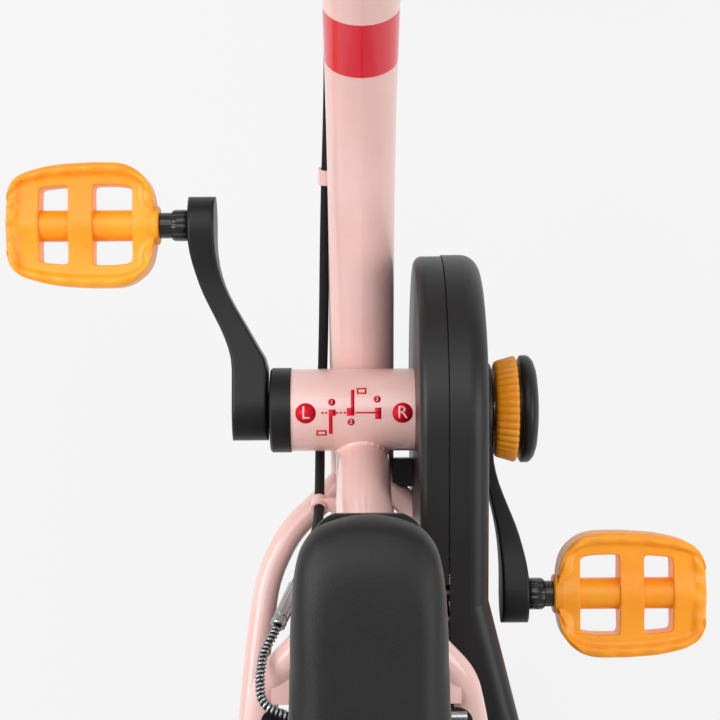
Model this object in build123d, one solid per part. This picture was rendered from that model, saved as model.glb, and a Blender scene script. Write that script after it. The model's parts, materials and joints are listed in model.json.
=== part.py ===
from build123d import *
from math import asin, atan2, cos, degrees, pi, radians, sin, sqrt, tan
import os

# A child's bicycle with a tool-free removable crank set, standing on a display stand.
# Row frame, millimetres: +X forwards, +Y to the rider's left, +Z up. The floor is Z = 0, and
# X = 0 lies midway between the tyres' outermost points, so the origin is under the middle.

# ---------------------------------------------------------------- driving dimensions
WHEELBASE = 670.0
TYRE_RADIUS = 174.0          # 14 x 1.75 tyre
REAR_LIFT = 6.0              # the stand holds the rear tyre this far off the floor
BB_HEIGHT = 178.0
HEAD_ANGLE = 69.0
SEAT_ANGLE = 72.0
FORK_RAKE = 30.0
CLEAR = 0.3                  # standing gap between separate pieces
RUN = 0.06                   # radial running clearance of a shaft in its hole

# chain drive
PITCH = 12.7
RING_TEETH = 28
SPROCKET_TEETH = 14
CHAIN_LINKS = 62
CHAIN_LINE = 38.0
TOOTH_THICK = 2.8

# bottom bracket and cranks
SHELL_RADIUS = 19.75
SHELL_BORE = 17.0
SHELL_HALF = 34.0
CRANK_LENGTH = 89.0
SPINDLE_RADIUS = 9.0
DRAW_BOLT_RADIUS = 4.0
CUP_RADIUS = 20.3
CUP_FACE = 43.9              # outer face of the left bearing cup

# frame tubes
MAIN_RADIUS = 15.9
MAIN_RADIUS_TOP = 17.5
TUBE_WALL = 1.8
SEAT_TUBE_RADIUS = 12.7
SEAT_TUBE_SETBACK = 25.0     # seat tube axis behind the crank axis, at its height
SEAT_TUBE_TOP = 150.0        # above the crank axis
STAY_RADIUS = 6.35
HEAD_RADIUS = 18.0
HEAD_BORE = 15.5
HEAD_LENGTH = 95.0
DROPOUT_INNER = 55.0         # half the rear hub's over-locknut width
DROPOUT_THICK = 5.0

# chain guard
GUARD_IN = 24.7
GUARD_SEAM = 37.8
GUARD_OUT = 55.6
GUARD_REAR_OUT = 75.0
GUARD_RADIUS = 74.0
GUARD_REAR_RADIUS = 37.0
GUARD_WALL = 2.0
GUARD_EDGE = 9.0

# front end
CROWN_U = 205.0              # distances up the steering axis from its foot beside the axle
FORK_SPREAD = 42.0
FRONT_DROPOUT = 46.0
BAR_RADIUS = 11.1
BAR_U = 470.0
GRIP_END = 240.0

# seat
POST_RADIUS = 11.1
SADDLE_TOP = 255.0           # above the crank axis
SADDLE_NOSE = -26.5          # ahead of the crank axis
SADDLE_LENGTH = 222.0
SADDLE_THICK = 26.0


# ---------------------------------------------------------------- worked-out places
def chain_length(centres, big, small):
    """Length of a belt round two circles whose centres are that far apart."""
    lean = asin((big - small) / centres)
    return 2 * centres * cos(lean) + big * (pi + 2 * lean) + small * (pi - 2 * lean)


RING_ROLL = RING_TEETH * PITCH / (2 * pi)
SPROCKET_ROLL = SPROCKET_TEETH * PITCH / (2 * pi)
STAY_LENGTH = 258.0
for _ in range(40):
    STAY_LENGTH -= (chain_length(STAY_LENGTH, RING_ROLL, SPROCKET_ROLL) - CHAIN_LINKS * PITCH) / 2

REAR_X = -WHEELBASE / 2
FRONT_X = WHEELBASE / 2
REAR_Z = TYRE_RADIUS + REAR_LIFT
FRONT_Z = TYRE_RADIUS
BB_Z = BB_HEIGHT
BB_X = REAR_X + sqrt(STAY_LENGTH**2 - (REAR_Z - BB_Z) ** 2)


def at_bb(x, y, z):
    """A point given from the crank axis, in the row frame."""
    return Vector(BB_X + x, y, BB_Z + z)


HEAD_UP = Vector(-cos(radians(HEAD_ANGLE)), 0, sin(radians(HEAD_ANGLE)))
HEAD_FORWARD = Vector(sin(radians(HEAD_ANGLE)), 0, cos(radians(HEAD_ANGLE)))
AXIS_FOOT = Vector(FRONT_X, 0, FRONT_Z) - HEAD_FORWARD * FORK_RAKE


def on_steerer(u, v, y=0.0):
    """A point u up the steering axis and v ahead of it."""
    point = AXIS_FOOT + HEAD_UP * u + HEAD_FORWARD * v
    return Vector(point.X, y, point.Z)


SEAT_UP = Vector(-cos(radians(SEAT_ANGLE)), 0, sin(radians(SEAT_ANGLE)))


def on_seat_tube(height):
    """The point on the seat tube's axis at that height above the crank axis."""
    return at_bb(-SEAT_TUBE_SETBACK - height / tan(radians(SEAT_ANGLE)), 0, height)


# ---------------------------------------------------------------- shape helpers
def rod(a, b, r):
    """A round bar from a to b."""
    a, b = Vector(a), Vector(b)
    plane = Plane(origin=a, z_dir=b - a)
    return plane * Cylinder(r, (b - a).length, align=(Align.CENTER, Align.CENTER, Align.MIN))


def disc(r, y0, y1, x=0.0, z=0.0):
    """A disc about an axis along Y, from y0 to y1."""
    return Pos(x, (y0 + y1) / 2, z) * Rot(90, 0, 0) * Cylinder(r, abs(y1 - y0))


def ring(r_out, r_in, y0, y1, x=0.0, z=0.0):
    """A washer about an axis along Y."""
    return disc(r_out, y0, y1, x, z) - disc(r_in, min(y0, y1) - 1, max(y0, y1) + 1, x, z)


def cone_y(r0, r1, y0, y1, x=0.0, z=0.0):
    """A cone frustum about an axis along Y, of radius r0 at y0 and r1 at y1."""
    turn = -90 if y1 > y0 else 90
    return Pos(x, (y0 + y1) / 2, z) * Rot(turn, 0, 0) * Cone(r0, r1, abs(y1 - y0))


def turned_y(points, x=0.0, z=0.0):
    """A solid turned about Y from its half section, given as (radius, y) points."""
    face = make_face(Polyline(*points, close=True))
    return Pos(x, 0, z) * revolve(face, Axis.Y)


def tube_radii(points):
    """The largest tangent arcs that a route's runs leave room for."""
    radii = []
    for before, here, after in zip(points, points[1:], points[2:]):
        run_in = Vector(here) - Vector(before)
        run_out = Vector(after) - Vector(here)
        turn = radians(run_in.get_angle(run_out))
        radii.append(0.45 * min(run_in.length, run_out.length) / tan(turn / 2))
    return radii


def bent_bar(points, r, radii=None):
    """A round bar along straight runs joined by tangent arcs."""
    points = [Vector(p) for p in points]
    path = FilletPolyline(*points, radius=radii or tube_radii(points))
    start = Plane(origin=path @ 0, z_dir=path % 0)
    return sweep(start * Circle(r), path=path)


def mirrored(shape):
    """The same shape on the other side of the middle plane."""
    return mirror(shape, about=Plane.XZ)


def both_sides(shape):
    """The shape and its mirror image as two solids."""
    return Compound(children=[*solids_of(shape), *solids_of(mirrored(shape))])


def solids_of(shape):
    """The shape's solids as a list."""
    return list(shape.solids())


def group(*shapes):
    """Separate solids kept in one node."""
    return Compound(children=[s for shape in shapes for s in solids_of(shape)])


def side_plate(points, y0, y1):
    """A flat plate whose outline is given as (x, z) points, from y0 to y1."""
    plane = Plane(origin=(0, max(y0, y1), 0), x_dir=(1, 0, 0), z_dir=(0, -1, 0))
    return extrude(plane * make_face(Polyline(*points, close=True)), abs(y1 - y0))


def box_between(low, high):
    """A box from its lowest corner to its highest."""
    size = [b - a for a, b in zip(low, high)]
    middle = [(a + b) / 2 for a, b in zip(low, high)]
    return Pos(*middle) * Box(*size)


nodes = {}


# ---------------------------------------------------------------- frame tubes
MAIN_PATH = [(-56, -35), (20, -27), (88, 1), (139, 33), (172, 64), (226, 137), (290, 236)]
main_line = Spline(*[at_bb(x, 0, z) for x, z in MAIN_PATH])
main_stations = [0.0, 0.2, 0.4, 0.55, 0.65, 0.8, 1.0]


def main_section(t, inset):
    """The main tube's round section at a share of its length, widening towards the head tube."""
    widen = max(0.0, (t - 0.35) / 0.3)
    r = MAIN_RADIUS + (MAIN_RADIUS_TOP - MAIN_RADIUS) * min(1.0, widen)
    return Plane(origin=main_line @ t, z_dir=main_line % t) * Circle(r - inset)


main_solid = loft([main_section(t, 0) for t in main_stations])
main_hollow = loft([main_section(0.02 if t == 0 else t, TUBE_WALL) for t in main_stations])

shell_solid = disc(SHELL_RADIUS, -SHELL_HALF, SHELL_HALF, BB_X, BB_Z)
shell_hollow = disc(SHELL_BORE, -SHELL_HALF - 1, SHELL_HALF + 1, BB_X, BB_Z)
HEAD_LOW = CROWN_U + 25
head_solid = rod(on_steerer(HEAD_LOW, 0), on_steerer(HEAD_LOW + HEAD_LENGTH, 0), HEAD_RADIUS)
head_hollow = rod(on_steerer(HEAD_LOW - 1, 0), on_steerer(HEAD_LOW + HEAD_LENGTH + 1, 0), HEAD_BORE)

nodes["bottom_bracket_shell"] = shell_solid - shell_hollow
nodes["head_tube"] = head_solid - head_hollow
cup_room = rod(on_steerer(CROWN_U + 15, 0), on_steerer(HEAD_LOW + 1, 0), HEAD_RADIUS + 1.8)
main_tube = main_solid - main_hollow - shell_solid - head_solid - cup_room
nodes["main_tube"] = max(solids_of(main_tube), key=lambda s: s.volume)

seat_solid = rod(on_seat_tube(-40), on_seat_tube(SEAT_TUBE_TOP), SEAT_TUBE_RADIUS)
seat_hollow = rod(on_seat_tube(-10), on_seat_tube(SEAT_TUBE_TOP + 1), POST_RADIUS + RUN)
seat_tube = seat_solid - seat_hollow - main_solid - shell_solid
nodes["seat_tube"] = max(solids_of(seat_tube), key=lambda s: s.center().Z)

STAY_LIFT = REAR_Z - BB_Z
chainstay_route = [
    at_bb(-34, 8, -33),
    at_bb(-47, 21, -31),
    at_bb(-61, 36, -29),
    at_bb(-83, 47, -26.5),
    at_bb(-115, 51.5, -21.5),
    at_bb(-160, 56, -14),
    at_bb(-STAY_LENGTH + 18, DROPOUT_INNER + DROPOUT_THICK / 2, -1 + STAY_LIFT),
]
chainstay_full = bent_bar(chainstay_route, STAY_RADIUS)
nodes["chainstays"] = both_sides(chainstay_full - main_solid)

seatstay_route = [
    at_bb(-56, 4, 124),
    at_bb(-77, 13, 122),
    at_bb(-94.7, 28.5, 119),
    at_bb(-107, 40, 113),
    at_bb(-130, 45.5, 100),
    at_bb(-180, 51, 62),
    at_bb(-STAY_LENGTH + 12, DROPOUT_INNER + DROPOUT_THICK / 2, 11 + STAY_LIFT),
]
seatstay_full = bent_bar(seatstay_route, STAY_RADIUS)
seatstay_cut = seatstay_full - seat_solid
seatstay_left = max(solids_of(seatstay_cut), key=lambda s: s.volume)
middle_cut = box_between((-500, -40, 0), (500, 0.15, 600))
nodes["seatstays"] = both_sides(seatstay_left - middle_cut)

# dropouts, brake studs and cable guides, all welded to the tubes
AXLE_RADIUS = 5.0
dropout_outline = [
    (REAR_X - 16, REAR_Z - 13),
    (REAR_X + 14, REAR_Z - 13),
    (REAR_X + 30, REAR_Z - 8),
    (REAR_X + 30, REAR_Z + 5),
    (REAR_X + 20, REAR_Z + 20),
    (REAR_X + 6, REAR_Z + 20),
    (REAR_X - 16, REAR_Z + 10),
]
dropout = side_plate(dropout_outline, DROPOUT_INNER, DROPOUT_INNER + DROPOUT_THICK)
dropout -= disc(AXLE_RADIUS + 0.2, 40, 80, REAR_X, REAR_Z)
dropout -= chainstay_full + seatstay_full

STUD_RADIUS = 4.0
STUD_REACH = 103.0           # axle centre to brake stud


def stud_place(axle, along, side):
    """Where a brake stud stands on its stay or fork leg, on one side."""
    point = Vector(axle) + Vector(along) * STUD_REACH
    return Vector(point.X, side * 34.0, point.Z)


rear_axle_point = Vector(REAR_X, 0, REAR_Z)
rear_along = (at_bb(-130, 0, 100) - rear_axle_point).normalized()
rear_face = Vector(-rear_along.Z, 0, rear_along.X)
front_axle_point = Vector(FRONT_X, 0, FRONT_Z)
front_along = (on_steerer(CROWN_U, 2) - front_axle_point).normalized()
front_face = Vector(front_along.Z, 0, -front_along.X)
BOSS_BACK = 10.0
STUD_LENGTH = 19.0
GUIDE_SHARES = (0.2, 0.46)    # of the cable's run along the frame
SEAT_GUIDE_SHARE = 0.8


def brake_stud(axle, along, face, stay_y):
    """A stud on a short boss that is welded to the inside of its stay."""
    base = stud_place(axle, along, 1)
    boss = rod(base - face * BOSS_BACK, base + face * 6.0, 6.0)
    arm = rod(Vector(base.X, 34, base.Z), Vector(base.X, stay_y, base.Z), 4.5)
    return boss + arm + rod(base, base + face * (6.0 + STUD_LENGTH), STUD_RADIUS)


BRIDGE_FROM_AXLE = 188.0      # clear of the tyre
bridge_at = rear_axle_point + rear_along * BRIDGE_FROM_AXLE
BRIDGE_HALF = 39.0
bridge = box_between(
    (bridge_at.X - 8, -BRIDGE_HALF, bridge_at.Z - 2.5),
    (bridge_at.X + 8, BRIDGE_HALF, bridge_at.Z + 2.5),
)
bridge -= seatstay_full + mirrored(seatstay_full)
bridge = min(solids_of(bridge), key=lambda s: abs(s.center().Y))
rear_stud = brake_stud(rear_axle_point, rear_along, rear_face, 50) - seatstay_full

# the brake cable's route down the left of the main tube and up to its noodle
CABLE_RADIUS = 2.4


def beside_main(share, droop, gap):
    """A point on the left of the main tube, that many degrees below its side."""
    axis_point, tangent = main_line @ share, main_line % share
    under = Vector(tangent.Z, 0, -tangent.X)
    reach = MAIN_RADIUS + (MAIN_RADIUS_TOP - MAIN_RADIUS) * min(1, max(0, (share - 0.35) / 0.3))
    reach += CABLE_RADIUS + gap
    turn = radians(droop)
    return axis_point + Vector(0, reach * cos(turn), 0) + under * (reach * sin(turn))


cable_route = [
    beside_main(0.86, 30, 1.2),
    beside_main(0.76, 42, 1.6),
    beside_main(0.65, 50, 2.4),
    beside_main(0.54, 50, 2.8),
    beside_main(0.43, 44, 2.8),
    beside_main(0.33, 32, 2.4),
    at_bb(27, 19.0, -28),
    at_bb(-8, 20.8, -30),
    at_bb(-36, 21.0, -17.5),
    at_bb(-52, 21.0, 12),
    at_bb(-59, 23.0, 46),
    at_bb(-66, 26.0, 77),
    at_bb(-70.5, 29.0, 99),
]
cable_run = bent_bar(cable_route, CABLE_RADIUS)
cable_line = FilletPolyline(*cable_route, radius=tube_radii(cable_route))


def cable_guide(share, tube_y):
    """A small welded loop round the cable housing, with its foot on a tube."""
    point, direction = cable_line @ share, cable_line % share
    loop = rod(point - direction * 3.7, point + direction * 3.7, 3.9)
    foot = box_between(
        (point.X - 3.2, tube_y, point.Z - 3.0),
        (point.X + 3.2, point.Y, point.Z + 3.0),
    )
    return loop + foot - bent_bar(cable_route, CABLE_RADIUS + 0.25)


guides = [cable_guide(share, 6) - main_solid for share in GUIDE_SHARES]
guides.append(cable_guide(SEAT_GUIDE_SHARE, 6) - seat_solid)
guides = [max(solids_of(guide), key=lambda s: s.volume) for guide in guides]
nodes["frame_fittings"] = group(both_sides(dropout), both_sides(rear_stud), bridge, *guides)

# ---------------------------------------------------------------- bearings and cups
left_cup = turned_y(
    [
        (SPINDLE_RADIUS + 1, SHELL_HALF - 6),
        (SHELL_BORE - RUN, SHELL_HALF - 6),
        (SHELL_BORE - RUN, SHELL_HALF + 0.02),
        (CUP_RADIUS, SHELL_HALF + 0.02),
        (CUP_RADIUS, CUP_FACE - 1),
        (CUP_RADIUS - 1, CUP_FACE),
        (SPINDLE_RADIUS + 1, CUP_FACE),
    ],
    BB_X,
    BB_Z,
)
RIGHT_CUP_FACE = 36.0
right_cup = turned_y(
    [
        (SPINDLE_RADIUS + 1, -SHELL_HALF + 6),
        (SHELL_BORE - RUN, -SHELL_HALF + 6),
        (SHELL_BORE - RUN, -SHELL_HALF - 0.02),
        (SHELL_RADIUS, -SHELL_HALF - 0.02),
        (SHELL_RADIUS, -RIGHT_CUP_FACE),
        (SPINDLE_RADIUS + 1, -RIGHT_CUP_FACE),
    ],
    BB_X,
    BB_Z,
)
nodes["bottom_bracket_cups"] = group(left_cup, right_cup)

BEARING_WIDTH = 8.0
STEERER_RADIUS = 12.7
bb_bearing = ring(SHELL_BORE - RUN, SPINDLE_RADIUS + RUN, 18, 18 + BEARING_WIDTH, BB_X, BB_Z)
lower_cup = rod(on_steerer(CROWN_U + 17, 0), on_steerer(HEAD_LOW - 0.02, 0), HEAD_RADIUS + 1.5)
lower_cup -= rod(on_steerer(CROWN_U + 10, 0), on_steerer(HEAD_LOW + 1, 0), STEERER_RADIUS + RUN)
HEAD_TOP = HEAD_LOW + HEAD_LENGTH
upper_cup = rod(on_steerer(HEAD_TOP + 0.02, 0), on_steerer(HEAD_TOP + 11, 0), HEAD_RADIUS + 1.5)
upper_cup -= rod(on_steerer(HEAD_TOP - 1, 0), on_steerer(HEAD_TOP + 12, 0), STEERER_RADIUS + RUN)
nodes["headset_and_bearings"] = group(both_sides(bb_bearing), lower_cup, upper_cup)

# ---------------------------------------------------------------- seat clamp, post and saddle
clamp_low = SEAT_TUBE_TOP - 14.0
clamp_ring = rod(on_seat_tube(clamp_low), on_seat_tube(SEAT_TUBE_TOP - 0.5), SEAT_TUBE_RADIUS + 3)
ear_at = on_seat_tube(SEAT_TUBE_TOP - 7)
ear = box_between(
    (ear_at.X - SEAT_TUBE_RADIUS - 14, -6, ear_at.Z - 6),
    (ear_at.X - SEAT_TUBE_RADIUS - 0.5, 6, ear_at.Z + 6),
)
clamp_slot = box_between((ear_at.X - 40, -1, ear_at.Z - 20), (ear_at.X - 8, 1, ear_at.Z + 20))
tube_room = rod(on_seat_tube(0), on_seat_tube(SEAT_TUBE_TOP + 9), SEAT_TUBE_RADIUS + 0.02)
clamp_body = clamp_ring + ear - tube_room - clamp_slot
bolt_x = ear_at.X - SEAT_TUBE_RADIUS - 8
clamp_body -= disc(2.6, -10, 10, bolt_x, ear_at.Z)
clamp_bolt = disc(2.5, -9, 9, bolt_x, ear_at.Z) + disc(4.5, 6.05, 10.5, bolt_x, ear_at.Z)
clamp_bolt += disc(4.5, -9.5, -6.05, bolt_x, ear_at.Z)
nodes["seat_clamp"] = group(clamp_body, clamp_bolt)

POST_TOP = 207.0
POST_BOTTOM = 45.0
post = rod(on_seat_tube(POST_BOTTOM), on_seat_tube(POST_TOP), POST_RADIUS)
post -= rod(on_seat_tube(POST_BOTTOM - 1), on_seat_tube(POST_TOP - 6), POST_RADIUS - 2)
nodes["seatpost"] = post

RAIL_RADIUS = 3.5
RAIL_Y = 20.0
RAIL_Z = 214.0
SADDLE_BASE_THICK = 5.0
pad_low = SADDLE_TOP - SADDLE_THICK
base_low = pad_low - SADDLE_BASE_THICK
rail_route = [
    at_bb(SADDLE_NOSE - 32, 9, base_low - 0.2),
    at_bb(SADDLE_NOSE - 45, 14, RAIL_Z),
    at_bb(SADDLE_NOSE - 120, RAIL_Y, RAIL_Z),
    at_bb(SADDLE_NOSE - 150, RAIL_Y + 6, base_low - 0.2),
]
rail = bent_bar(rail_route, RAIL_RADIUS, [7, 14])
rail -= box_between((-900, 0, BB_Z + base_low - 0.05), (900, 90, 900))
clamp_at = on_seat_tube(POST_TOP)
rail_clamp = box_between(
    (clamp_at.X - 13, -RAIL_Y - 7, BB_Z + POST_TOP - 12),
    (clamp_at.X + 13, RAIL_Y + 7, BB_Z + RAIL_Z + 6),
)
rail_clamp -= rod(on_seat_tube(POST_TOP - 40), on_seat_tube(POST_TOP + 0.02), POST_RADIUS + 0.02)
rail_clamp -= rail + mirrored(rail)
rail_clamp = max(solids_of(rail_clamp), key=lambda s: s.volume)
nodes["saddle_rails"] = group(both_sides(rail), rail_clamp)


def saddle_outline(inset):
    """The saddle's plan: a square-nosed, nearly parallel front that flares to a wide tail."""
    half = [
        (0, 14),
        (4, 20),
        (12, 23.5),
        (28, 26),
        (68, 27.5),
        (105, 33),
        (140, 50),
        (165, 63),
        (190, 69),
        (210, 62),
        (SADDLE_LENGTH - 2, 38),
    ]
    left = [Vector(SADDLE_NOSE - x - (inset if x < 20 else 0), y - inset) for x, y in half]
    right = [Vector(p.X, -p.Y) for p in reversed(left)]
    tail = ThreePointArc(left[-1], Vector(SADDLE_NOSE - SADDLE_LENGTH - 4 + inset, 0), right[0])
    nose = Line(right[-1], left[0])
    outline = Spline(*left) + tail + Spline(*right) + nose
    return make_face(outline)


def saddle_slab(low, high, inset):
    """The saddle's plan between two heights above the crank axis."""
    plane = Plane(origin=at_bb(0, 0, low), x_dir=(1, 0, 0), z_dir=(0, 0, 1))
    return extrude(plane * saddle_outline(inset), high - low)


pad = saddle_slab(pad_low, SADDLE_TOP, 0)
pad_top = pad.edges().group_by(Axis.Z)[-1]
nodes["saddle_pad"] = fillet(pad_top, 8.0)
nodes["saddle_base"] = saddle_slab(base_low, pad_low - 0.02, 2.5)

# ---------------------------------------------------------------- wheels
BEAD_RADIUS = 127.0
RIM_HALF = 15.0
RIM_INNER = 115.0
tyre_section = (
    Polyline((127.2, 9.4), (127.2, 12.8), (133.6, 12.8), (142.2, 22.0))
    + ThreePointArc((142.2, 22.0), (TYRE_RADIUS, 0), (142.2, -22.0))
    + Polyline((142.2, -22.0), (133.6, -12.8), (127.2, -12.8), (127.2, -9.4))
    + Polyline((127.2, -9.4), (134.8, -9.4), (143.5, -18.6))
    + ThreePointArc((143.5, -18.6), (TYRE_RADIUS - 4.5, 0), (143.5, 18.6))
    + Polyline((143.5, 18.6), (134.8, 9.4), (127.2, 9.4))
)
rim_half_section = [
    (133, 15),
    (133, 13),
    (BEAD_RADIUS, 13),
    (BEAD_RADIUS, 9),
    (121, 8),
]
rim_section = rim_half_section + [(r, -y) for r, y in reversed(rim_half_section)]
rim_section += [(122, -RIM_HALF), (RIM_INNER, -9), (RIM_INNER, 9), (122, RIM_HALF)]
FLANGE_RADIUS = 24.0
FLANGE_Y = 24.0
FLANGE_THICK = 3.0
SPOKE_RADIUS = 1.0
SPOKES = 20
HUB_RADIUS = 13.0


def spoke(index, x, z):
    """One spoke: from its flange's face to a nipple at the rim, leaning round the wheel."""
    side = 1 if index % 2 else -1
    outside = 1 if (index // 2) % 2 else -1
    hub_turn = 2 * pi * index / SPOKES
    rim_turn = hub_turn + outside * radians(38)
    hub_y = side * (FLANGE_Y + outside * (FLANGE_THICK / 2 + SPOKE_RADIUS + 0.1))
    start = Vector(x + FLANGE_RADIUS * cos(hub_turn), hub_y, z + FLANGE_RADIUS * sin(hub_turn))
    end_r = RIM_INNER - 0.7
    end = Vector(x + end_r * cos(rim_turn), side * 2.0, z + end_r * sin(rim_turn))
    along = (end - start).normalized()
    return rod(start, end, SPOKE_RADIUS) + rod(end - along * 9, end, 2.0)


def add_wheel(name, x, z, axle_radius, hub_half):
    """Tyre, rim, spokes and hub of one wheel."""
    nodes[name + "_tyre"] = Pos(x, 0, z) * revolve(make_face(tyre_section), Axis.Y)
    nodes[name + "_rim"] = turned_y(rim_section, x, z)
    nodes[name + "_spokes"] = group(*[spoke(i, x, z) for i in range(SPOKES)])
    hub = disc(HUB_RADIUS, -hub_half, hub_half, x, z)
    for side in (-1, 1):
        low = side * FLANGE_Y - FLANGE_THICK / 2
        hub += disc(FLANGE_RADIUS, low, low + FLANGE_THICK, x, z)
    nodes[name + "_hub"] = hub - disc(axle_radius + RUN, -90, 90, x, z)


REAR_HUB_HALF = 29.0
add_wheel("front_wheel", FRONT_X, FRONT_Z, AXLE_RADIUS, 30.0)
add_wheel("rear_wheel", REAR_X, REAR_Z, AXLE_RADIUS, REAR_HUB_HALF)


def hex_nut(y0, y1, x, z, across=15.0, bore=AXLE_RADIUS):
    """A hexagon nut about an axis along Y."""
    plane = Plane(origin=(x, max(y0, y1), z), x_dir=(1, 0, 0), z_dir=(0, -1, 0))
    nut = extrude(plane * RegularPolygon(across / 2, 6, major_radius=False), abs(y1 - y0))
    return nut - disc(bore + 0.02, min(y0, y1) - 1, max(y0, y1) + 1, x, z)


AXLE_LEFT_END = 84.0
AXLE_RIGHT_END = 90.0
nut_in = DROPOUT_INNER + DROPOUT_THICK + 0.02
SPROCKET_SPACER = 44.0
nodes["rear_axle"] = group(
    disc(AXLE_RADIUS, -AXLE_RIGHT_END, AXLE_LEFT_END, REAR_X, REAR_Z),
    hex_nut(nut_in, nut_in + 8, REAR_X, REAR_Z),
    hex_nut(-nut_in - 8, -nut_in, REAR_X, REAR_Z),
    ring(8.0, AXLE_RADIUS + 0.02, REAR_HUB_HALF + CLEAR, DROPOUT_INNER - 0.02, REAR_X, REAR_Z),
    ring(8.0, AXLE_RADIUS + 0.02, -DROPOUT_INNER + 0.02, -SPROCKET_SPACER, REAR_X, REAR_Z),
)
FRONT_AXLE_END = 68.0
front_nut_in = FRONT_DROPOUT + DROPOUT_THICK + 0.02
front_spacer = ring(8.0, AXLE_RADIUS + 0.02, 30 + CLEAR, FRONT_DROPOUT - 0.02, FRONT_X, FRONT_Z)
front_nut = hex_nut(front_nut_in, front_nut_in + 8, FRONT_X, FRONT_Z)
nodes["front_axle"] = group(
    disc(AXLE_RADIUS, -FRONT_AXLE_END, FRONT_AXLE_END, FRONT_X, FRONT_Z),
    both_sides(front_nut),
    both_sides(front_spacer),
)


# ---------------------------------------------------------------- chain drive
def sprocket(teeth, bore, x, z, phase):
    """A toothed wheel at the chain line, with a tooth gap's middle at the phase angle."""
    roll = teeth * PITCH / (2 * pi)
    gap_r = 4.1
    tip = 3.0
    plane = Plane(origin=(x, -CHAIN_LINE + TOOTH_THICK / 2, z), x_dir=(1, 0, 0), z_dir=(0, -1, 0))
    blank = Circle(roll + tip) - Circle(bore)
    mouth_r, mouth_half = roll + tip + 1, gap_r + 1.9
    corners = [(roll, -gap_r), (mouth_r, -mouth_half), (mouth_r, mouth_half), (roll, gap_r)]
    mouth = Polyline(*corners, close=True)
    cutter = Pos(roll, 0) * Circle(gap_r) + make_face(mouth)
    cuts = [Rot(0, 0, degrees(phase) + 360 * i / teeth) * cutter for i in range(teeth)]
    return extrude(plane * (blank - cuts), TOOTH_THICK)


chain_lean = asin((RING_ROLL - SPROCKET_ROLL) / STAY_LENGTH)
drive_tilt = atan2(REAR_Z - BB_Z, REAR_X - BB_X)
run_length = STAY_LENGTH * cos(chain_lean)
small_arc_length = (pi - 2 * chain_lean) * SPROCKET_ROLL


def chain_point(distance):
    """The point a distance along the chain, from where the top run leaves the chainring."""
    distance %= CHAIN_LINKS * PITCH
    away = drive_tilt
    top_turn = away - (pi / 2 - chain_lean)
    bottom_turn = away + (pi / 2 - chain_lean)
    top_big = Vector(BB_X + RING_ROLL * cos(top_turn), 0, BB_Z + RING_ROLL * sin(top_turn))
    top_small = Vector(REAR_X + SPROCKET_ROLL * cos(top_turn), 0, REAR_Z + SPROCKET_ROLL * sin(top_turn))
    bottom_small = Vector(
        REAR_X + SPROCKET_ROLL * cos(bottom_turn), 0, REAR_Z + SPROCKET_ROLL * sin(bottom_turn)
    )
    bottom_big = Vector(BB_X + RING_ROLL * cos(bottom_turn), 0, BB_Z + RING_ROLL * sin(bottom_turn))
    if distance < run_length:
        return top_big + (top_small - top_big) * (distance / run_length)
    distance -= run_length
    if distance < small_arc_length:
        turn = top_turn + distance / SPROCKET_ROLL
        return Vector(REAR_X + SPROCKET_ROLL * cos(turn), 0, REAR_Z + SPROCKET_ROLL * sin(turn))
    distance -= small_arc_length
    if distance < run_length:
        return bottom_small + (bottom_big - bottom_small) * (distance / run_length)
    distance -= run_length
    turn = bottom_turn + distance / RING_ROLL
    return Vector(BB_X + RING_ROLL * cos(turn), 0, BB_Z + RING_ROLL * sin(turn))


def chain_link(outer):
    """One link lying along X at the origin: two plates, and rollers or pins between them."""
    plate_in, plate_out = (2.85, 3.85) if outer else (1.75, 2.65)
    plane = Plane(origin=(0, plate_out, 0), x_dir=(1, 0, 0), z_dir=(0, -1, 0))
    plate = extrude(plane * SlotCenterToCenter(PITCH, 8.0), plate_out - plate_in)
    link = plate + mirrored(plate)
    for x in (-PITCH / 2, PITCH / 2):
        if outer:
            link += disc(1.7, -plate_out - 0.4, plate_out + 0.4, x, 0)
        else:
            link += disc(3.85, -plate_in, plate_in, x, 0)
            link -= disc(1.95, -4, 4, x, 0)
    return link


outer_link, inner_link = chain_link(True), chain_link(False)
chain_links = []
for i in range(CHAIN_LINKS):
    a, b = chain_point(i * PITCH), chain_point((i + 1) * PITCH)
    middle, along = (a + b) / 2, b - a
    tilt = degrees(atan2(along.Z, along.X))
    placed = Pos(middle.X, -CHAIN_LINE, middle.Z) * Rot(0, -tilt, 0)
    chain_links.append(placed * (outer_link if i % 2 else inner_link))
nodes["chain"] = group(*chain_links)

first_on_small = chain_point((int(run_length / PITCH) + 1) * PITCH)
small_phase = atan2(first_on_small.Z - REAR_Z, first_on_small.X - REAR_X)
ring_first = chain_point(0)
ring_phase = atan2(ring_first.Z - BB_Z, ring_first.X - BB_X)
RING_BORE = 12.0
chainring = sprocket(RING_TEETH, RING_BORE + 0.02, BB_X, BB_Z, ring_phase)
for i in range(5):
    turn = 2 * pi * i / 5
    hole_x, hole_z = BB_X + 35 * cos(turn), BB_Z + 35 * sin(turn)
    chainring -= disc(11.0, -CHAIN_LINE - 5, -CHAIN_LINE + 5, hole_x, hole_z)
nodes["chainring"] = chainring
SPROCKET_BORE = 16.0
freewheel_span = (-CHAIN_LINE - 4, -CHAIN_LINE + 4)
freewheel_body = ring(SPROCKET_BORE - 0.02, AXLE_RADIUS + 1.5, *freewheel_span, REAR_X, REAR_Z)
rear_sprocket = sprocket(SPROCKET_TEETH, SPROCKET_BORE, REAR_X, REAR_Z, small_phase)
nodes["rear_sprocket"] = group(rear_sprocket, freewheel_body)


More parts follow.
